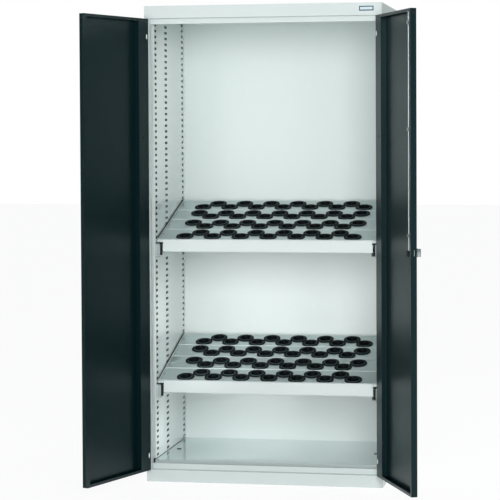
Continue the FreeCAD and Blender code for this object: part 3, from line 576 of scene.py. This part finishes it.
def done(item, body, coat, replaced=()):
    """Give a finished piece its finish and its body, and hide the solids it stands for."""
    item.data.materials.clear()
    item.data.materials.append(finish(coat) if isinstance(coat, str) else coat)
    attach(item, body)
    if replaced:
        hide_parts(*replaced)
    return item


def body_of(node):
    return next(body for body, held in frame["record"]["behaviour"]["bodies"].items() if node in held)


def slot_of(node):
    return next(entry["material_slot"] for entry in frame["record"]["subparts"] if entry["node"] == node)


def carrier_edge(number):
    """Front edge of a carrier along the slope, counted from 0."""
    return forms().carrier_start + number * forms().carrier_pitch


def frame_slope(name, along=0.0, across=0.0):
    """Matrix from a level drawing to a place on a pull-out frame's slope."""
    low, high = corners(f"{name}_frame_front")
    turn = Matrix.Rotation(forms().tilt, 4, "X")
    return Matrix.Translation((0, low.y, high.z)) @ turn @ Matrix.Translation((across, along, 0))


def door_place(side):
    """Matrix from a door drawn about its hinge axis, as if closed, to where it stands open."""
    joint = JOINTS["right_door_hinge" if side > 0 else "left_door_hinge"]
    swing = math.radians(-joint["range_deg"][0]) * side
    x, y, _ = joint["pos_m"]
    return Matrix.Translation((x, y, 0)) @ Matrix.Rotation(swing, 4, "Z")


COATS = {
    "body_paint": "body_coat", "door_paint": "door_coat", "galvanised": "galvanised_sheet",
    "zinc": "zinc_hardware", "steel": "slide_steel", "insert_plastic": "moulded_plastic",
}
NODE_COATS = {
    "body_hinge_leaves": "bright_zinc",
    "left_door_hinge_leaves": "door_coat", "right_door_hinge_leaves": "door_coat",
}
SHEET_PARTS = [
    "plinth", "left_side_panel", "right_side_panel", "back_panel", "roof_cap", "top_rail", "bottom_rail",
    "floor_panel", "left_door_panel", "right_door_panel", "left_door_stiffener", "right_door_stiffener",
    "left_door_stop_strip",
] + [f"{name}_{part}" for name in FRAMES for part in (
    "frame_front", "frame_left_side", "frame_right_side", "frame_rear", "slide_brackets",
    "carrier_1", "carrier_2", "carrier_3", "carrier_4")]


class CABINET_OT_sheet_parts(bpy.types.Operator):
    """Break the folded and cut edges of the painted sheet parts"""
    bl_idname = "cabinet.sheet_parts"
    bl_label = "Sheet parts"

    flat = math.radians(1)  # faces that meet at less than this are one
    broad = 0.1  # square metres, less than a side panel's face

    def execute(self, context):
        for node in SHEET_PARTS:
            source = frame["nodes"][node]
            item = bpy.data.objects.new(f"soft_{node}", source.data.copy())
            context.collection.objects.link(item)
            only(item)
            edit()
            bpy.ops.mesh.select_all(action="SELECT")
            bpy.ops.mesh.remove_doubles(threshold=SAME)
            bpy.ops.mesh.dissolve_limited(angle_limit=self.flat)
            leave_edit()
            soften(item, forms().edge_break)
            slot = slot_of(node)
            coat = "carrier_sheet" if "carrier" in node else COATS[slot]
            done(item, body_of(node), coat, [node])
            if "side_panel" in node:
                self.leave_raw(item)
        return {"FINISHED"}

    def leave_raw(self, item):
        """The inner face of a side panel, behind the perforated wall, gets a dark coat: painted shade seen through
        the wall's slots.
        """
        item.data.materials.append(finish("dark_primer"))
        for face in item.data.polygons:
            inward = face.normal.x * face.center.x < 0
            if inward and abs(face.center.x) > WALL_LOW.x and face.area > self.broad:
                face.material_index = 1


class CABINET_OT_perforated_walls(bpy.types.Operator):
    """Fold the inner walls and punch their columns of slots"""
    bl_idname = "cabinet.perforated_walls"
    bl_label = "Perforated walls"

    # Setback and length of the slots in each column, from the front to the back
    columns = ((93 * MM, 30 * MM), (272.5 * MM, 19 * MM), (295 * MM, 19 * MM), (608 * MM, 32 * MM))
    slot_reach, slot_corner = 6 * MM, 2.4 * MM
    border = 8 * MM  # strip along the wall's front and rear that has no slots

    def execute(self, context):
        sizes = forms()
        face, outside = WALL_LOW.x, WALL_HIGH.x
        low, high = corners("floor_panel")[1].z + sizes.floor_gap, WALL_HIGH.z
        start, end = WALL_LOW.y, WALL_HIGH.y
        path = [(outside, start), (face, start), (face, end), (outside, end)]
        wall = folded_sheet("right_wall_sheet", path, low, high, sizes.sheet, sizes.fold_radius)
        only(wall)
        apply_modifier(wall, "SOLIDIFY", thickness=sizes.sheet, offset=self.outward(wall, face))
        cutters = []
        for column, (setback, length) in enumerate(self.columns):
            slot = bar(
                f"slot_{column}",
                (face - self.slot_reach, FRONT + setback - length / 2, sizes.first_slot - sizes.slot_height / 2),
                (face + self.slot_reach, FRONT + setback + length / 2, sizes.first_slot + sizes.slot_height / 2))
            edit(edges=True)
            shape = bmesh.from_edit_mesh(slot.data)
            for edge in shape.edges:
                first, second = edge.verts
                edge.select = abs(first.co.x - second.co.x) > MM
            bmesh.update_edit_mesh(slot.data)
            bpy.ops.mesh.bevel(offset=self.slot_corner, segments=3)
            leave_edit()
            apply_modifier(
                slot, "ARRAY", count=sizes.slot_count, use_relative_offset=False, use_constant_offset=True,
                constant_offset_displace=(0, 0, sizes.slot_pitch))
            cutters.append(slot)
        punch = merged("slot_punch", cutters)
        apply_modifier(wall, "BOOLEAN", operation="DIFFERENCE", object=punch, solver="EXACT")
        bpy.data.objects.remove(punch)
        smooth(wall, 30)
        twin = copied(wall, "left_wall_sheet")
        twin.scale = (-1, 1, 1)
        settle(twin)
        edit()
        face_outwards(weld=False)
        for item, node in ((wall, "right_perforated_wall"), (twin, "left_perforated_wall")):
            done(item, "cabinet", "wall_coat", [node])
            # The slots' cut faces get the dark coat: painted shade inside the slots
            item.data.materials.append(finish("dark_primer"))
            for part in item.data.polygons:
                across = abs(part.normal.x) < 0.5
                amid = start + self.border < part.center.y < end - self.border
                part.material_index = int(across and amid and low + MM < part.center.z < high - MM)
        return {"FINISHED"}

    def outward(self, wall, face):
        """Which side of the sheet's face the thickness goes to, so that it stays off the inside."""
        facing = next(
            polygon.normal.x for polygon in wall.data.polygons
            if abs(polygon.center.x - face) < SAME and abs(polygon.normal.x) > 0.9)
        return -1 if facing < 0 else 1


class CABINET_OT_tool_inserts(bpy.types.Operator):
    """Turn one moulded tool insert and set it into every socket"""
    bl_idname = "cabinet.tool_inserts"
    bl_label = "Tool inserts"

    # Radius and height of the rings of one insert, in millimetres
    profile = (
        (37.6, 0.2), (37.6, 2.6), (36.8, 3.6), (34.2, 3.6), (29.6, 1.8), (28.0, 2.0), (27.0, 4.6), (25.2, 4.6),
        (24.2, 1), (23.6, -5), (23.0, -14), (22.4, -37.8), (25.4, -37.8), (26.6, -34), (26.9, -0.6), (28, 0.2),
    )
    sides = 30
    key_low, key_high, key_edge = (-5.5 * MM, 18.5 * MM, -17 * MM), (5.5 * MM, 23.4 * MM, -1 * MM), 0.8 * MM
    worn = (25.5 * MM, 28.2 * MM)  # radii of the ring round the mouth that is painted lighter as a highlight

    def execute(self, context):
        sizes = forms()
        rings = millimetres(self.profile)
        model = turned("insert_model", rings + rings[:1], self.sides, closed=True)
        key = bar("insert_key", self.key_low, self.key_high, self.key_edge)
        model = smooth(merged("insert_model", [model, key]), 40)
        self.rim = [self.is_worn(part.center) for part in model.data.polygons]
        for name in FRAMES:
            for number in range(CARRIERS):
                self.fill_carrier(model, name, number, sizes)
        bpy.data.objects.remove(model)
        return {"FINISHED"}

    def is_worn(self, place):
        """Whether a face is on the ring round the mouth, which is painted lighter as a highlight."""
        return self.worn[0] < place.xy.length < self.worn[1] and place.z > MM

    def fill_carrier(self, model, name, number, sizes):
        """The two staggered rows of one carrier."""
        counts = (7, 6) if number in (0, CARRIERS - 1) else (6, 7)
        copies = []
        for count, step in zip(counts, (-0.5, 0.5)):
            along = carrier_edge(number) + sizes.row_centre + step * sizes.row_spacing
            for place in range(count):
                twin = copied(model, "insert_copy")
                across = (place - (count - 1) / 2) * sizes.socket_pitch
                copies.append(put(twin, frame_slope(name, along, across)))
        item = merged(f"{name}_tool_inserts_{number + 1}", copies)
        done(item, f"{name}_frame", "moulded_plastic", [f"{name}_inserts_{number + 1}"])
        # The ring round each mouth gets the lighter plastic: a painted highlight
        item.data.materials.append(finish("worn_plastic"))
        for place, part in enumerate(item.data.polygons):
            part.material_index = int(self.rim[place % len(self.rim)])


def screw_head(name, radius, height):
    """A low pan head with a round recess."""
    rings = [(radius, 0), (radius, 0.35 * height), (0.86 * radius, 0.8 * height), (0.5 * radius, height)]
    head = turned(name, rings, 20, closed=False)
    edit(edges=True)
    pick_edges(head, lambda at: at.z > 0.99 * height)
    bpy.ops.mesh.edge_face_add()
    pick(head, lambda centre, normal: normal.z > 0.9 and centre.z > 0.9 * height)
    bpy.ops.mesh.inset(thickness=0.18 * radius)
    bpy.ops.transform.translate(value=(0, 0, -0.45 * height))
    leave_edit()
    return smooth(head)


class CABINET_OT_carrier_screws(bpy.types.Operator):
    """Screws that hold the tool carriers on the sloping rails, and the end tabs' screws"""
    bl_idname = "cabinet.carrier_screws"
    bl_label = "Carrier screws"

    head_radius, head_height = 4.2 * MM, 2.4 * MM
    edge_inset = 9 * MM  # from a carrier's end
    tab_places = (449.5 * MM, 461 * MM)  # from the cabinet's middle
    tab_drop, tab_scale = 7 * MM, 0.6

    def execute(self, context):
        model = screw_head("screw_model", self.head_radius, self.head_height)
        for name in FRAMES:
            rail_edge = corners(f"{name}_carrier_1")[1].x
            heads = []
            for side in SIDES.values():
                for number in range(CARRIERS):
                    place = frame_slope(name, carrier_edge(number + 0.5), side * (rail_edge - self.edge_inset))
                    heads.append(put(copied(model, "screw_copy"), place))
                low, high = corners(f"{name}_frame_front")
                for reach in self.tab_places:
                    spot = Matrix.Translation((side * reach, low.y, high.z - self.tab_drop)) @ UPRIGHT
                    heads.append(put(copied(model, "screw_copy"), spot @ Matrix.Scale(self.tab_scale, 4)))
            done(merged(f"{name}_frame_screws", heads), f"{name}_frame", "zinc_hardware")
        bpy.data.objects.remove(model)
        return {"FINISHED"}


class CABINET_OT_slide_fittings(bpy.types.Operator):
    """Covers on the slides' front ends, dark bars beside them that paint the shade of the gaps there, the carriers'
    lips, and the dark strips along the sloping rails, which also paint the shade of the gap by the wall
    """
    bl_idname = "cabinet.slide_fittings"
    bl_label = "Slide fittings"

    # From the cabinet's middle: inner and outer side, and the foot over the bracket's
    cover = (459.5 * MM, 473 * MM, 2 * MM)
    gap = (451 * MM, 459.5 * MM, 13 * MM)
    cover_depth = (-2 * MM, -0.3 * MM)  # from the slide's front end
    cover_head, cover_edge = 3 * MM, 0.7 * MM
    lip_width = (0.3 * MM, 2.1 * MM)  # from a carrier's front edge
    lip_height, lip_edge = 1.7 * MM, 0.6 * MM
    trim_width, trim_height = (-2 * MM, 0.6 * MM), (3 * MM, 8.4 * MM)  # from the rail's outer side
    trim_start, trim_edge = 6 * MM, 0.9 * MM

    def execute(self, context):
        for name in FRAMES:
            body = f"{name}_frame"
            # The dark bars beside the slides paint the shade of the gaps there
            for word, form, coat in (("covers", self.cover, "grey_plastic"), ("gaps", self.gap, "rubber")):
                ends = [self.front_end(name, side, form) for side in SIDES.values()]
                done(merged(f"{name}_slide_{word}", ends), body, coat)
            edge = corners(f"{name}_carrier_1")[1].x + 2 * forms().sheet
            lips = [self.lip(name, number, edge - forms().sheet) for number in range(CARRIERS)]
            done(merged(f"{name}_carrier_lips", lips), body, "body_coat")
            # The dark strips on the rails also paint the shade of the gap between each rail and the wall
            shade_trims = [self.trim(name, side, edge) for side in SIDES.values()]
            done(merged(f"{name}_rail_trims", shade_trims), body, "rubber")
        return {"FINISHED"}

    def front_end(self, name, side, form):
        """Bar before the front end of a slide."""
        inner, outer, foot = form
        front = corners(f"{name}_slide_inners")[0].y
        low, high = corners(f"{name}_slide_brackets")
        near, far = sorted((side * inner, side * outer))
        return bar(
            "cap", (near, front + self.cover_depth[0], low.z + foot),
            (far, front + self.cover_depth[1], high.z - self.cover_head), self.cover_edge, 3)

    def lip(self, name, number, half):
        """Fold along the front edge of a carrier."""
        start, end = (carrier_edge(number) + width for width in self.lip_width)
        lip = bar("lip", (-half, start, 0), (half, end, self.lip_height), self.lip_edge, 3)
        return put(lip, frame_slope(name))

    def trim(self, name, side, edge):
        """Dark strip along a sloping rail's lip, which also paints the shade of the gap between the rail and the
        wall.
        """
        near, far = sorted(side * (edge + width) for width in self.trim_width)
        low, high = self.trim_height
        trim = bar("trim", (near, self.trim_start, low), (far, carrier_edge(CARRIERS), high), self.trim_edge, 3)
        return put(trim, frame_slope(name))


class CABINET_OT_lock(bpy.types.Operator):
    """Rotary handle with a grip, its rosette, and the cap on the rod's foot"""
    bl_idname = "cabinet.lock"
    bl_label = "Lock"

    # Radius and height of the rings, in millimetres
    rosette = ((4, 0), (20, 0), (20, 1.6), (18.6, 3), (4, 3), (4, 0))
    knob = ((3.5, -14), (3.5, 3.4), (15.6, 3.4), (17, 4.6), (17, 8.2), (15.8, 9.4))
    base = 1.4 * MM  # of the rosette, from the door's hinge axis
    grip_low, grip_high = (-5.4 * MM, -15.6 * MM, 8 * MM), (5.4 * MM, 15.6 * MM, 22 * MM)
    grip_edge, grip_taper = 2.2 * MM, (0.8, 0.9, 1)
    cap_across, cap_depth = (-7 * MM, 16 * MM), (18.7 * MM, 24.8 * MM)  # from the rod's middle, the hinge axis
    cap_height, cap_edge = 24 * MM, 1.2 * MM

    def execute(self, context):
        place = door_place(1)
        axis = Vector(JOINTS["handle_turn"]["pos_m"])
        local = place.inverted() @ axis
        out = Matrix.Translation((local.x, self.base, axis.z)) @ UPRIGHT
        rosette = smooth(turned("rosette_disc", millimetres(self.rosette), 48, closed=True))
        done(put(rosette, place @ out), "right_door", "zinc_hardware", ["lock_rosette"])
        rings = millimetres(self.knob)
        knob = turned("knob_disc", rings, 40, closed=False)
        edit(edges=True)
        pick_edges(knob, lambda at: at.z > rings[-1][1] - 0.1 * MM)
        bpy.ops.mesh.edge_face_add()
        leave_edit()
        smooth(knob)
        grip = bar("grip_bar", self.grip_low, self.grip_high, self.grip_edge, 4)
        edit()
        pick(grip, lambda centre, normal: normal.z > 0.95)
        bpy.ops.transform.resize(value=self.grip_taper)
        leave_edit()
        smooth(grip, 40)
        handle = merged("rotary_handle", [knob, grip])
        done(put(handle, place @ out), "handle", "zinc_hardware", ["lock_handle"])
        self.rod_cap(place)
        return {"FINISHED"}

    def rod_cap(self, place):
        """Black cap on the rod's foot."""
        foot = corners("locking_rod")[0].z
        low, high = corners("rod_guides")
        middle = (place.inverted() @ ((low + high) / 2)).x
        near, far = (middle + reach for reach in self.cap_across)
        cap = bar(
            "rod_cap", (near, self.cap_depth[0], foot), (far, self.cap_depth[1], foot + self.cap_height),
            self.cap_edge, 3)
        done(put(cap, place), "rod", "rubber")


class CABINET_OT_door_fittings(bpy.types.Operator):
    """Plugs in the doors' free edges, and buffers on their inner side"""
    bl_idname = "cabinet.door_fittings"
    bl_label = "Door fittings"

    rings = ((5 * MM, 0), (5 * MM, 0.4 * MM), (3.8 * MM, 0.8 * MM), (0.6 * MM, MM))
    # Reach from the hinge axis, depth behind it, and heights
    plugs = (493.5 * MM, 14.4 * MM, (68 * MM, 1929 * MM))
    buffers = (60 * MM, 26 * MM, (545 * MM, 1450 * MM))

    def execute(self, context):
        plug = smooth(turned("plug_model", self.rings, 20, closed=False))
        for word, side in SIDES.items():
            outward = Matrix.Rotation(math.radians(-90 * side), 4, "Y")
            items = []
            for (reach, depth, heights), turn in ((self.plugs, outward), (self.buffers, INWARD)):
                for height in heights:
                    spot = Matrix.Translation((-side * reach, depth, height)) @ turn
                    items.append(put(copied(plug, "plug_copy"), door_place(side) @ spot))
            done(merged(f"{word}_door_plugs", items), f"{word}_door", "rubber")
        bpy.data.objects.remove(plug)
        return {"FINISHED"}


class CABINET_OT_hinge_fittings(bpy.types.Operator):
    """Screws of the doors' hinge halves, drain plugs, and a grey strip over the floor's front fold that paints shade
    there
    """
    bl_idname = "cabinet.hinge_fittings"
    bl_label = "Hinge fittings"

    head_radius, head_height, head_stretch = 4.5 * MM, 2 * MM, (0.9, 2.4, 1, 1)
    screw_place = (31 * MM, 26 * MM)  # from the hinge axis, across and inwards
    screw_levels = (8 * MM, -18 * MM)  # from the foot and the head of the hinges
    drain_ends = (50 * MM, 32 * MM)  # from the wall
    drain_half, drain_height, drain_edge = 5 * MM, 2 * MM, 0.8 * MM
    seal_inset = (2 * MM, 0.3 * MM, 1.2 * MM)  # at the floor's ends, over the rail, under the floor
    seal_depth, seal_edge = 0.8 * MM, 0.3 * MM

    def execute(self, context):
        hinges = corners("body_hinge_leaves")
        model = screw_head("door_screw_model", self.head_radius, self.head_height)
        across, inwards = self.screw_place
        turn = INWARD @ Matrix.Diagonal(self.head_stretch)
        for word, side in SIDES.items():
            heads = []
            for corner, shift in zip(hinges, self.screw_levels):
                spot = Matrix.Translation((-side * across, inwards, corner.z + shift))
                heads.append(put(copied(model, "screw_copy"), door_place(side) @ spot @ turn))
            done(merged(f"{word}_door_hinge_screws", heads), f"{word}_door", "bright_zinc")
        bpy.data.objects.remove(model)
        self.floor_edge()
        plugs = []
        for side in SIDES.values():
            near, far = sorted(side * (WALL_LOW.x - end) for end in self.drain_ends)
            top = corners("floor_panel")[1].z
            plugs.append(bar(
                "plug", (near, -self.drain_half, top), (far, self.drain_half, top + self.drain_height),
                self.drain_edge, 3))
        done(merged("drain_plugs", plugs), "cabinet", "rubber")
        return {"FINISHED"}

    def floor_edge(self):
        """Grey strip over the floor's front fold, down to the rail below it: painted shade."""
        low, high = corners("floor_panel")
        foot = corners("bottom_rail")[1].z
        ends, over, under = self.seal_inset
        shade_strip = bar(
            "floor_seal", (low.x + ends, low.y - self.seal_depth, foot + over),
            (high.x - ends, low.y, high.z - under), self.seal_edge, 2)
        done(shade_strip, "cabinet", "grey_plastic")


class CABINET_OT_plate(bpy.types.Operator):
    """Bare plate near the fascia's right end"""
    bl_idname = "cabinet.plate"
    bl_label = "Plate"

    centre = Vector((437 * MM, FRONT, 1976 * MM))
    width, height, thickness = 60 * MM, 20 * MM, 0.8 * MM
    rim, recess = 4.6 * MM, 0.25 * MM

    def execute(self, context):
        half = Vector((self.width / 2, 0, self.height / 2))
        thick = Vector((0, self.thickness, 0))
        plate = bar("bare_plate", self.centre - half - thick, self.centre + half, 0.3 * MM, 2)
        edit()
        pick(plate, lambda at, normal: normal.y < -0.95)
        bpy.ops.mesh.inset(thickness=self.rim)
        bpy.ops.transform.translate(value=(0, self.recess, 0))
        leave_edit()
        done(plate, "cabinet", printed_plate(self.centre, self.width, self.height, self.rim))
        return {"FINISHED"}


class CABINET_OT_finishes(bpy.types.Operator):
    """Give every solid of the frame its finish"""
    bl_idname = "cabinet.finishes"
    bl_label = "Finishes"

    def execute(self, context):
        for node, item in frame["nodes"].items():
            coat = finish(NODE_COATS.get(node) or COATS[slot_of(node)])
            if not item.material_slots:
                raise RuntimeError(f"{node} has no material slot")
            for place in item.material_slots:
                place.material = coat
        return {"FINISHED"}


class CABINET_OT_stage(bpy.types.Operator):
    """Floor, soft light and the camera"""
    bl_idname = "cabinet.stage"
    bl_label = "Stage"

    # Place, aim and size of the lamps outside
    outer = {
        "key": ((1.6, -6.4, 2.5), (0, 0.1, 0.9), (2.0, 2.0)),
        "fill": ((-2.2, -6.6, 1.2), (0, 0, 0.8), (3.0, 3.0)),
        "low": ((0.6, -5.2, 0.3), (0, 0, 0.15), (3.0, 0.5)),
        "side": ((4.5, 1.3, 1.7), (0.5, 0, 1.4), (1.6, 2.2)),
    }
    # Place across, aim across, width and share of the power of the lamps in each compartment
    inner = {"left": (-215 * MM, -0.2, 0.36, 0.8), "right": (180 * MM, 0, 0.3, 0.2)}
    inner_setback, inner_fall = 78 * MM, 0.15
    spare = 60 * MM  # between a lamp and what is over or under it
    ground_size, glow, glow_share = 60, 1.07, 0.86

    def execute(self, context):
        self.floor()
        self.sky(context)
        self.lights()
        self.camera(context)
        context.scene.view_settings.view_transform = "Standard"
        return {"FINISHED"}

    def floor(self):
        """Pale ground, nearly white to the camera and in mirrors."""
        bpy.ops.mesh.primitive_plane_add(size=self.ground_size, location=(0, 0, 0))
        ground = named("studio_floor")
        look = Shader("studio_floor")
        look.set("Base Color", (0.88, 0.89, 0.89, 1))
        look.set("Roughness", 0.7)
        glow = look.node("ShaderNodeEmission", None, (1, 1, 1, 1), self.glow)
        seen = look.rays("Camera").maths("MAXIMUM", look.rays("Glossy"))
        look.mix(seen * self.glow_share * (1 - self.below(look)), glow)
        ground.data.materials.append(look.material)

    def below(self, look):
        """1 on the ground under the cabinet, 0 elsewhere."""
        across, deep = (look.axis(number).maths("ABSOLUTE") for number in range(2))
        return (1 - across.above(BODY_HIGH.x - 2 * MM, MM)) * (1 - deep.above(BODY_HIGH.y - 2 * MM, MM))

    def sky(self, context):
        """Even light all round, white to the camera."""
        look = Shader("studio_sky", world=True)
        context.scene.world = look.material
        look.set("Color", (0.93, 0.97, 1.0, 1))
        look.set("Strength", stage().sky)
        white = look.node("ShaderNodeBackground", None, (1, 1, 1, 1), 1)
        look.mix(look.rays("Camera").maths("MAXIMUM", look.rays("Transmission")), white)

    def lights(self):
        """Lamps outside, and two in each compartment."""
        for word, (place, aim, size) in self.outer.items():
            self.lamp(f"{word}_light", place, aim, size, getattr(stage(), f"{word}_power"))
        for number, (low, high, power) in enumerate(self.compartments()):
            for word, (place, turn, width, share) in self.inner.items():
                spot = Vector((place, FRONT + self.inner_setback, (low + high) / 2))
                aim = spot + Vector((turn, 1, -self.inner_fall))
                self.lamp(f"{word}_inner_light_{number + 1}", spot, aim, (width, high - low), power * share)

    def compartments(self):
        """Foot, head and light of each space inside the cabinet."""
        floor = corners("floor_panel")[1].z
        ceiling = corners("top_rail")[0].z
        lower, upper = corners("lower_frame_front"), corners("upper_frame_front")
        spare, power = self.spare, stage().inner_power
        return [
            (floor + spare, lower[0].z - 2.2 * spare, power * 0.95),
            (lower[1].z + spare, upper[0].z - 2.2 * spare, power * 1.15),
            (upper[1].z + 2 * spare, ceiling - spare, power * 0.8)]

    def lamp(self, name, place, aim, size, power):
        """A rectangular lamp that faces a point."""
        data = bpy.data.lights.new(name, "AREA")
        data.shape = "RECTANGLE"
        data.size, data.size_y = size
        data.energy = power
        lamp = bpy.data.objects.new(name, data)
        bpy.context.collection.objects.link(lamp)
        lamp.location = place
        lamp.rotation_euler = (Vector(aim) - Vector(place)).to_track_quat("-Z", "Y").to_euler()

    def camera(self, context):
        """Camera fitted to the picture's corners and edges."""
        view = stage()
        data = bpy.data.cameras.new("camera")
        data.sensor_width = 36
        data.lens = view.focal_pixels / view.picture * data.sensor_width
        data.shift_y = (view.centre_row - view.picture / 2) / view.picture
        data.clip_end = 100
        camera = bpy.data.objects.new("camera", data)
        context.collection.objects.link(camera)
        forward = Vector((
            -math.sin(view.yaw) * math.cos(view.pitch), math.cos(view.yaw) * math.cos(view.pitch),
            -math.sin(view.pitch)))
        level = Vector((math.cos(view.yaw), math.sin(view.yaw), 0))
        down = forward.cross(level)
        right = level * math.cos(view.roll) + down * math.sin(view.roll)
        upright = right.cross(forward)
        turn = Matrix((right, upright, -forward)).transposed()
        camera.matrix_world = Matrix.Translation(Vector(view.camera_place)) @ turn.to_4x4()
        context.scene.camera = camera


class CABINET_PT_dressing(bpy.types.Panel):
    """Steps that dress the cabinet, in order"""
    bl_idname = "CABINET_PT_dressing"
    bl_label = "Cabinet dressing"
    bl_space_type = "VIEW_3D"
    bl_region_type = "UI"
    bl_category = "Cabinet"

    def draw(self, context):
        for operator in STEPS:
            self.layout.operator(operator.bl_idname)
        for group in (forms(), finishes(), stage()):
            for name in group.bl_rna.properties.keys():
                if name not in ("rna_type", "name"):
                    self.layout.prop(group, name)


STEPS = (
    CABINET_OT_finishes, CABINET_OT_sheet_parts, CABINET_OT_perforated_walls, CABINET_OT_tool_inserts,
    CABINET_OT_carrier_screws, CABINET_OT_slide_fittings, CABINET_OT_lock, CABINET_OT_door_fittings,
    CABINET_OT_hinge_fittings, CABINET_OT_plate, CABINET_OT_stage,
)
GROUPS = {"cabinet_forms": CabinetForms, "cabinet_finishes": CabinetFinishes, "cabinet_stage": CabinetStage}


def register():
    for name, group in GROUPS.items():
        bpy.utils.register_class(group)
        setattr(bpy.types.Scene, name, PointerProperty(type=group))
    for kind in (*STEPS, CABINET_PT_dressing):
        bpy.utils.register_class(kind)


def unregister():
    for kind in reversed((*STEPS, CABINET_PT_dressing)):
        bpy.utils.unregister_class(kind)
    for name, group in GROUPS.items():
        delattr(bpy.types.Scene, name)
        bpy.utils.unregister_class(group)


def main():
    register()
    for operator in STEPS:
        family, step = operator.bl_idname.split(".")
        getattr(getattr(bpy.ops, family), step)()


if __name__ == "__main__":
    main()
